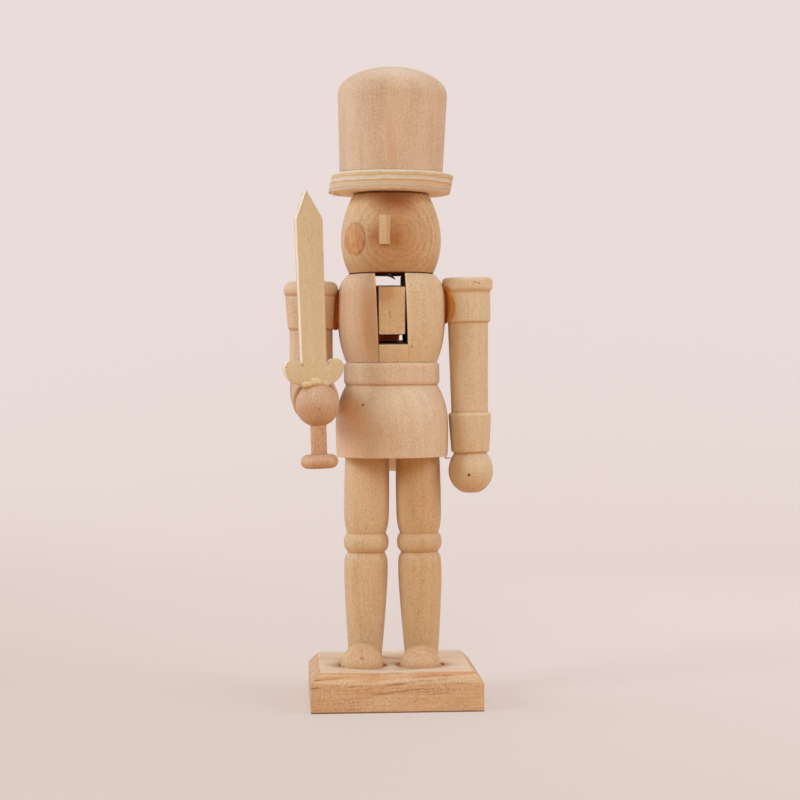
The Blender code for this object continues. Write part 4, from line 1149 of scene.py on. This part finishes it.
# %% Sword and peg
GUARD_FOOT = SEAT + HAIR
BLADE_T, ROOT_W, TOP_W, BLADE_L, POINT_L = 3.4 * MM, 7.5 * MM, 8.1 * MM, 53.2 * MM, 8.4 * MM
GUARD_W, LOBE_R, LOBE_Z, NOTCH_Z = 18.6 * MM, 2.6 * MM, 5.2 * MM, 5.6 * MM
TIP_SIDE = -0.7 * MM
GUARD_FOOT_HALF, NOTCH_PULL = 3.4 * MM, 0.7 * MM
BELLY_PULL = (7.8 * MM, 0.2 * MM)
GUARD_NICK = (286, 367.5)
TANG_L, TANG_HALF, SWORD_SIDE = 5.0 * MM, 1.4 * MM, -1.3 * MM
PEG_R, PEG_HEAD_R, PEG_HEAD_H, PEG_STEM = 2.45 * MM, 5.7 * MM, 4.2 * MM, 16.1 * MM


def bow(first, pull, last, steps=24):
    """A curve from first to last that leans towards pull: the quadratic with those three control points."""
    share = np.linspace(0, 1, steps + 1)[:, None]
    first, pull, last = (np.array(point) for point in (first, pull, last))
    return first * (1 - share) ** 2 + 2 * pull * share * (1 - share) + last * share**2


def sword_line():
    """Half of the sword's outline from the tang up, then the same mirrored down, with the tip to one side."""
    lobe = arc((GUARD_W / 2 - LOBE_R, LOBE_Z), LOBE_R, -20, 140)
    belly = bow((GUARD_FOOT_HALF, 0), BELLY_PULL, lobe[0])
    notch = bow(lobe[-1], (ROOT_W / 2 + NOTCH_PULL, NOTCH_Z), (ROOT_W / 2, NOTCH_Z))
    shoulder = NOTCH_Z + BLADE_L - POINT_L
    tang = [(TANG_HALF, -TANG_L), (TANG_HALF, 0)]
    one_side = path(tang, belly, lobe, notch, (TOP_W / 2, shoulder))
    return path(one_side, (TIP_SIDE, shoulder + POINT_L), one_side[::-1] * np.array([-1, 1]))


SWORD_LAYERS = [(0.0, tone(212, 184, 142)), (0.14, tone(220, 194, 152)), (0.22, tone(244, 235, 223)),
                (0.78, tone(242, 232, 220)), (0.88, tone(220, 194, 152)), (1.0, tone(212, 184, 142))]
SWORD_FACE = (tone(228, 207, 173), tone(215, 191, 156), tone(184, 152, 108))
outline = sanded(sword_line(), 0.2 * MM, 0.3 * MM, closed=True)
rings, bevel = plank(outline, -BLADE_T / 2, BLADE_T / 2, SAWN_EDGE, rows=10)
marks = {"layer": rings[..., 2] / BLADE_T + 0.5, "face": (bevel > 0.7).astype(float)}
rings = np.stack([rings[..., 0] + SWORD_SIDE, -rings[..., 2], rings[..., 1] + GUARD_FOOT], axis=-1)
nick = (seen_at(*GUARD_NICK, sword_foot[1]), (0.6, 8.0, 0.5), SAWN, 0.8)
board = {"spread": 0.08, "turn": (0, 0, 0), "spots": [nick]}
sword_wood = plywood("sword_blade_finish", SWORD_LAYERS, SWORD_FACE, **board)
rings = carried(rings, sword_foot, SWORD_FRAME)
dress("sword_blade", rings, sword_wood, marks, slot="sword_plywood", flat_ends=True)

stem_top = SEAT - TANG_L
head_top = stem_top - PEG_STEM
rim = PEG_HEAD_H / 2
knob = arc((PEG_HEAD_R - rim, head_top - rim), rim, -90, 90)
peg_line = path((0, head_top - PEG_HEAD_H), knob, (PEG_R, head_top), (PEG_R, stem_top), (0, stem_top))
rings, _ = lathe(peg_line, seed=81, columns=112)
peg_wood = bare_wood("sword_peg_finish", RUDDY, pith=(-20, 10), shift=25, fibre=0.5, flecks=0.4)
dress("sword_peg", carried(rings, hand, SWORD_FRAME), peg_wood, grooves_and_ridges(rings), slot="peg_wood")

# %% [markdown]
# Glue has run out of three joints and dried. Along both shoulders it is a thin web between the sleeve
# and the chest, coloured dark brown as painted shade for the crevice it fills, and on the hand it is a
# pale blob round the sword's foot.

# %% Dried glue, and painted shade at the shoulders
GLUE_SIDES, WEB_TIP, WEB_LUMPS = 40, 0.0004, 0.25


def shoulder_glue_and_shade(side, low, high, front, back, inner_x, outer_x):
    """A web across the shoulder joint: slices of a rounded rectangle that shrink towards both ends."""
    share = np.linspace(-1, 1, GLUE_SIDES)[:, None]
    angle = np.linspace(0, TURN, GLUE_SIDES, endpoint=False)[None, :]
    waist = np.sqrt(np.maximum(1 - share**2, WEB_TIP)) ** 0.5
    lumps = 1 + WEB_LUMPS * waver(angle, share * 6 * MM, 95 + side, count=7, tallest=0.9)
    y = (front + back) / 2 + (back - front) / 2 * np.sin(angle) * waist * lumps
    x = (inner_x + outer_x) / 2 + (outer_x - inner_x) / 2 * np.cos(angle) * waist
    z = (low + high) / 2 + (high - low) / 2 * share
    return np.stack([side * x, y, np.broadcast_to(z, x.shape)], axis=-1)


# The webs' dark brown tones are painted shade for the shoulder crevices.
GLUE_SHADE_TONES = (tone(184, 98, 26), tone(152, 74, 16), tone(98, 44, 8))
shaded_glue = bare_wood("shoulder_glue_finish", GLUE_SHADE_TONES, shine=0.1, mottle=1.2, cloud=0.8)
webs = {
    "right_shoulder_glue": shoulder_glue_and_shade(-1, 116.8 * MM, 130.2 * MM, -3.4 * MM, 3 * MM, 16.2 * MM, 19.2 * MM),
    "left_shoulder_glue": shoulder_glue_and_shade(1, 118.6 * MM, 130.4 * MM, -3.4 * MM, 3 * MM, 16.3 * MM, 17.8 * MM),
}
LUMPS = [
    ((-2.2, -0.9, 0.2), (1.9, 2.2, 1.2)),
    ((0.6, -1.0, 0.7), (2.6, 2.8, 1.7)),
    ((3.3, -0.8, 0.2), (1.8, 2.2, 1.3)),
]
BLOB_TONES = (tone(234, 212, 174), tone(216, 186, 142), tone(178, 138, 92))
pale_glue = bare_wood("hand_glue_finish", BLOB_TONES, rough=0.25, mottle=1.2, fibre=0.1)
for name, rings in webs.items():
    settle(skin(name, rings), shaded_glue)
half_circle = arc((0, 0), MM, -90, 90)
fine = {"soft": 0.05 * MM, "step": 0.05 * MM, "columns": 64}
for count, (offset, size) in enumerate(LUMPS):
    lump, _ = lathe(half_circle, seed=97 + count, uneven=0.3 * MM, **fine)
    offset = np.array(offset) * MM + np.array([SWORD_SIDE, 0, SEAT])
    blob = carried(lump * np.array(size), hand + SWORD_FRAME @ offset, SWORD_FRAME)
    settle(skin(f"hand_glue_{count + 1}", blob), pale_glue)

# %% [markdown]
# Saw and lathe left a few splinters: one hangs under the head, one curls off the hem, and some fray the
# brim's lower edge. A splinter is a thin oval carried along a bent line, and it thins to its tip.

# %% Splinters
SPLINTER_SIDES, TIP_SHARE, THINNING, OVAL = 12, 0.08, 0.7, 0.6
SPLINTERS = {
    "head_splinter": ([(387.5, 274.5), (392, 276), (395.3, 279.6)], -12.5 * MM, 0.6 * MM),
    "hem_splinter": ([(444.8, 457), (448.4, 459.6), (452.4, 456.6)], -3.0 * MM, 0.35 * MM),
    "brim_splinter": ([(333, 192.5), (336, 195), (341.5, 196.2)], -6.0 * MM, 0.4 * MM),
    "brim_shred": ([(336, 193.5), (335, 195), (333.8, 197)], -6.0 * MM, 0.25 * MM),
}


def splinter(points, depth, thick):
    """Ovals along a bow through three places in the picture, all at one depth; it thins to the tip."""
    line = bow(*(seen_at(*point, depth) for point in points))
    ahead = np.gradient(line, axis=0)
    side = np.cross(ahead, [0, 1, 0])
    side /= np.linalg.norm(side, axis=1, keepdims=True)
    angle = np.linspace(0, TURN, SPLINTER_SIDES, endpoint=False)[None, :, None]
    width = thick * np.linspace(1, TIP_SHARE, len(line))[:, None, None] ** THINNING
    out = np.array([0, 1, 0])
    return line[:, None] + width * (np.cos(angle) * side[:, None] + OVAL * np.sin(angle) * out)


splinter_wood = bare_wood("splinter_finish", HONEY)
# The splinter under the head takes a near-black tone: painted shade under the head.
shaded_splinter = bare_wood("head_splinter_finish", (tone(96, 44, 16), PIT, tone(40, 20, 8)), shine=0.1)
for name, (points, depth, thick) in SPLINTERS.items():
    piece = skin(name, splinter(points, depth, thick))
    settle(piece, shaded_splinter if name == "head_splinter" else splinter_wood)

# %% [markdown]
# The plinth is a pine block with chamfered upper edges. Level slices of a rounded rectangle give it
# soft arrises, and two shallow pockets are then drilled for the feet, which are turned balls with
# a flat sanded below. Pine has strong late wood: orange streaks along the block, some of them dark.

# %% Plinth and feet
BASE_HIGH = span("base_plinth")[1]
BASE_WIDER = 0.15 * MM
CHAMFER = 3.2 * MM
ARRIS = 0.2 * MM
BASE_TURN = turn_about("Z", 0.4)
POCKET_R, POCKET_DEPTH, POCKET_ABOVE = 7.6 * MM, 0.5 * MM, 2 * MM
FOOT_Y = -8.65 * MM
FEET = {
    "right_foot": {
        "x": -10.1 * MM, "radius": 6.6 * MM, "rise": 0.2 * MM,
        "heart": (362.1, 658.7), "rings": 0.2, "seed": 91,
        "cracks": [
            ((361.7, 650.5), (0.4, 6, 2.6), 0.3),
            ((363, 664), (0.35, 6, 1.6), 0.25),
            ((362.1, 658.7), (0.9, 6, 0.55), 0.75),
        ],
    },
    "left_foot": {
        "x": 8.1 * MM, "radius": 6.35 * MM, "rise": -0.15 * MM,
        "heart": (423.5, 670), "rings": 0.22, "seed": 92, "cracks": [],
    },
}
FOOT_TONES = (tone(226, 191, 152), tone(211, 170, 130), tone(164, 112, 70))


def plinth():
    """Slices of a rectangle whose half sides shrink up the chamfer; its side view is a sanded profile."""
    half = BASE_HIGH[:2] + np.array([BASE_WIDER, 0])
    side_view = path((0, 0), (half[0], 0), (half[0], BASE_HIGH[2] - CHAMFER),
                     (half[0] - CHAMFER, BASE_HIGH[2]), (0, BASE_HIGH[2]))
    fine = sanded(side_view, ARRIS, 0.2 * MM)
    fine = fine[fine[:, 0] > half[0] - 1.3 * CHAMFER]
    shrink, z = half[0] - fine[:, 0], fine[:, 1]
    corners = np.array([(-1, -1), (1, -1), (1, 1), (-1, 1)]) * half
    outline = sanded(corners, ARRIS, 0.4 * MM, closed=True)[::2]
    return stacked(outline[None] * (1 - shrink[:, None, None] / half), z)


def pine_finish(pockets):
    """Pale pine, with late wood as long streaks that rise a little to one side, strongest near the top."""
    material, place = start("base_plinth_finish")
    colour, height = grain(place, PINE, turn=(0, 90, 0), pith=(-10, 46), ring=3.4, rings=0.35, fibre=0.8)
    slope = {"Vector": place, "Rotation": (0, math.radians(4), 0)}
    board = place.node("ShaderNodeMapping", {}, slope)
    bands = board.noise((0.03, 0.16, 0.3), 2, 0.5)
    lines = board.noise((0.045, 0.5, 0.9), 3, 0.6)
    level, top = place.part("Z"), BASE_HIGH[2] / MM
    upper = level.between(2.0, 9.0) * 0.75 + 0.25
    orange = bands.between(0.5, 0.66) * upper
    brown = lines.between(0.58, 0.68) * upper
    colour = (orange * 0.7).mixed(colour, tone(206, 140, 82))
    colour = (brown * 0.8).mixed(colour, tone(158, 88, 46))
    # A paler top face is painted sheen, from light glancing off the top.
    top_sheen = level.between(top - 0.4, top)
    colour = (top_sheen * 0.6).mixed(colour, tone(240, 220, 198))
    # The pockets' floors are painted orange-brown shade.
    pocket_shade = level.between(top - 0.05, top - 0.25)
    for centre in pockets:
        inside = place.away(tuple(centre / MM), (8.5, 8.5, 30.0)).between(1.0, 0.98)
        colour = (inside * pocket_shade * 0.8).mixed(colour, tone(206, 132, 72))
    lower_edge = level.between(0.7, 0.2)
    colour = (lower_edge * 0.8).mixed(colour, tone(100, 58, 34))
    return finish(material, colour, height * 0.2 + 0.55, height - brown * 0.5)


base = skin("base_plinth_wood", carried(plinth(), (0, 0, 0), BASE_TURN), flat_ends=True, sharp=30)
pocket_line = path((0, -POCKET_DEPTH), (POCKET_R, -POCKET_DEPTH), (POCKET_R, POCKET_ABOVE), (0, POCKET_ABOVE))
pockets = []
for node, foot in FEET.items():
    centre = np.array([foot["x"], FOOT_Y, BASE_HIGH[2]])
    pocket, _ = lathe(pocket_line, soft=0.1 * MM, uneven=0.1 * MM, seed=foot["seed"], columns=96)
    bored(base, carried(pocket, centre))
    pockets.append(centre)
    sole = HAIR - POCKET_DEPTH - foot["rise"]
    below = math.degrees(math.asin(sole / foot["radius"]))
    ball = path((0, sole), arc((0, 0), foot["radius"], below, 90))
    rings, _ = lathe(ball, seed=foot["seed"], uneven=0.08 * MM, columns=128)
    heart = seen_on(*foot["heart"], foot["radius"], centre[:2]) / MM
    cracks = [
        (seen_on(*crack, foot["radius"], centre[:2]), size, tone(150, 92, 52), weight)
        for crack, size, weight in foot["cracks"]
    ]
    foot_wood = bare_wood(
        node + "_finish", FOOT_TONES, spots=cracks, turn=(-90, 0, 0),
        pith=(heart[0], heart[2]), ring=1.3, rings=foot["rings"], bend=0.5,
    )
    dress(node, carried(rings, centre + np.array([0, 0, foot["rise"]])), foot_wood)
settle(base, pine_finish(pockets), ["base_plinth"])

# %% [markdown]
# The dowels and the pivot pin are inside the joints. Their solids are shown as they are, in the
# straight-grained wood of a dowel rod.

# %% Dowels
rod_wood = bare_wood("dowel_finish", pith=(3, 50))
for name, node in frame["nodes"].items():
    if "dowel" in name or name == "lever_pivot_pin":
        node.data.materials.clear()
        node.data.materials.append(rod_wood)
print("rods:", sum("dowel" in name for name in frame["nodes"]) + 1)

# %% [markdown]
# The picture was taken on a pale pinkish sweep of paper: a floor that curves up into a backdrop, so
# that there is no line behind the figure. Seen by the camera the paper is in part its own colour, so
# that it stays pale without more light on the figure, and it keeps a soft shadow. That colour grows
# paler up the backdrop and towards the right, as painted light. Far from the figure it is its own
# colour alone, so that other views show no end of the lamps' light.

# %% Floor
SWEEP_W, SWEEP_FRONT, SWEEP_BACK, SWEEP_BEND, SWEEP_TOP = 3.0, -1.2, 0.9, 0.5, 2.0
OWN_COLOUR, FAR = 0.55, 700
NEAR_TONE, FAR_TONE, WARM_TONE = tone(219, 203, 196), tone(234, 220, 217), tone(212, 160, 104)


def sweep():
    """Floor, quarter circle and wall as one line of (y, z), carried from side to side."""
    bend = arc((SWEEP_BACK - SWEEP_BEND, SWEEP_BEND), SWEEP_BEND, -90, 0, 48)
    line = path((SWEEP_FRONT, 0), bend, (SWEEP_BACK, SWEEP_TOP))
    across = np.linspace(-SWEEP_W, SWEEP_W, 3)[:, None]
    shape = (3, len(line))
    return np.stack([np.broadcast_to(part, shape) for part in (across, line[:, 0], line[:, 1])], axis=-1)


grid = sweep()
across, along, _ = grid.shape
index = np.arange(across * along).reshape(across, along)
faces = np.stack([index[:-1, :-1], index[1:, :-1], index[1:, 1:], index[:-1, 1:]], axis=-1).reshape(-1, 4)
paper_mesh = bpy.data.meshes.new("paper_sweep")
paper_mesh.from_pydata(grid.reshape(-1, 3).tolist(), [], faces.tolist())
paper_mesh.shade_smooth()
paper = bpy.data.objects.new("paper_sweep", paper_mesh)
bpy.context.scene.collection.objects.link(paper)
material, place = start("paper")
fine = place.noise((0.02, 0.02, 0.02), 2)
rays = place.node("ShaderNodeLightPath", {}, {}, output="Is Camera Ray")
for kind in ("Is Glossy Ray", "Is Transmission Ray"):
    rays = rays.math("MAXIMUM", place.node("ShaderNodeLightPath", {}, {}, output=kind))
# The paper's own colour grows paler up the backdrop and to the right: painted light.
rise = (place.part("Z") + place.part("Y") * 0.4 + place.part("X") * 0.5).between(-110.0, 190.0)
sheet = rise.mixed(NEAR_TONE, FAR_TONE)
finish(material, rays.mixed(WARM_TONE, sheet), fine * 0.1 + 0.8, fine)
even = place.node("ShaderNodeEmission", {}, {"Color": sheet, "Strength": 1.0})
lit = Wire(material.node_tree, material.node_tree.nodes["Principled BSDF"].outputs[0])
far = place.away((0, 0, 0), (FAR, FAR, FAR)).between(0.7, 1.3)
own = rays * (far * (1 - OWN_COLOUR) + OWN_COLOUR)
both = place.node("ShaderNodeMixShader", {}, {0: own, 1: lit, 2: even})
material.node_tree.links.new(both.socket, material.node_tree.nodes["Material Output"].inputs["Surface"])
paper_mesh.materials.append(material)
print("paper:", paper_mesh.name)

# %% [markdown]
# Three large soft lamps, overhead, on the left and behind on the left, are slightly cool, and one on
# the right is close to white. A slightly warm one stands in front, and a weak warm glow comes from all
# round, which the camera sees as pale paper. So the tops and the left edges of the figure look pale,
# its front warm, and its hollows orange.

# %% Light
FIGURE_MIDDLE = np.array([0, 0, 0.1])
GLOW = (0.12, 0.077, 0.038, 1)
LAMPS = {
    "top_lamp": ((0.1, 0.1, 1.3), 1.2, 8.5, (0.84, 0.95, 1.0)),
    "left_lamp": ((-1.0, -0.55, 0.63), 0.5, 7, (0.81, 0.95, 1.0)),
    "rim_lamp": ((-1.2, 0.45, 0.4), 0.9, 5.5, (0.8, 0.93, 1.0)),
    "right_lamp": ((1.17, -0.5, 0.6), 0.9, 9.4, (0.9, 0.95, 0.97)),
    "front_lamp": ((-0.1, -1.4, 0.7), 0.6, 6, (0.97, 0.9, 0.78)),
}


def soft_lamp(name, place, size, power, colour):
    """A square area lamp that faces the figure's middle."""
    lamp = bpy.data.lights.new(name, "AREA")
    lamp.size = size
    lamp.energy = power
    lamp.color = colour
    lit = bpy.data.objects.new(name, lamp)
    away = np.array(place) - FIGURE_MIDDLE
    flat = math.hypot(away[0], away[1])
    lit.location = place
    lit.rotation_euler = (math.atan2(flat, away[2]), 0, math.atan2(away[0], -away[1]))
    bpy.context.scene.collection.objects.link(lit)


for name, settings in LAMPS.items():
    soft_lamp(name, *settings)
world = bpy.data.worlds.new("studio")
world.use_nodes = True
glow = world.node_tree.nodes["Background"]
seen = Wire(world.node_tree, world.node_tree.nodes.new("ShaderNodeLightPath").outputs["Is Camera Ray"])
world.node_tree.links.new(seen.mixed(GLOW, FAR_TONE).socket, glow.inputs["Color"])
bpy.context.scene.world = world
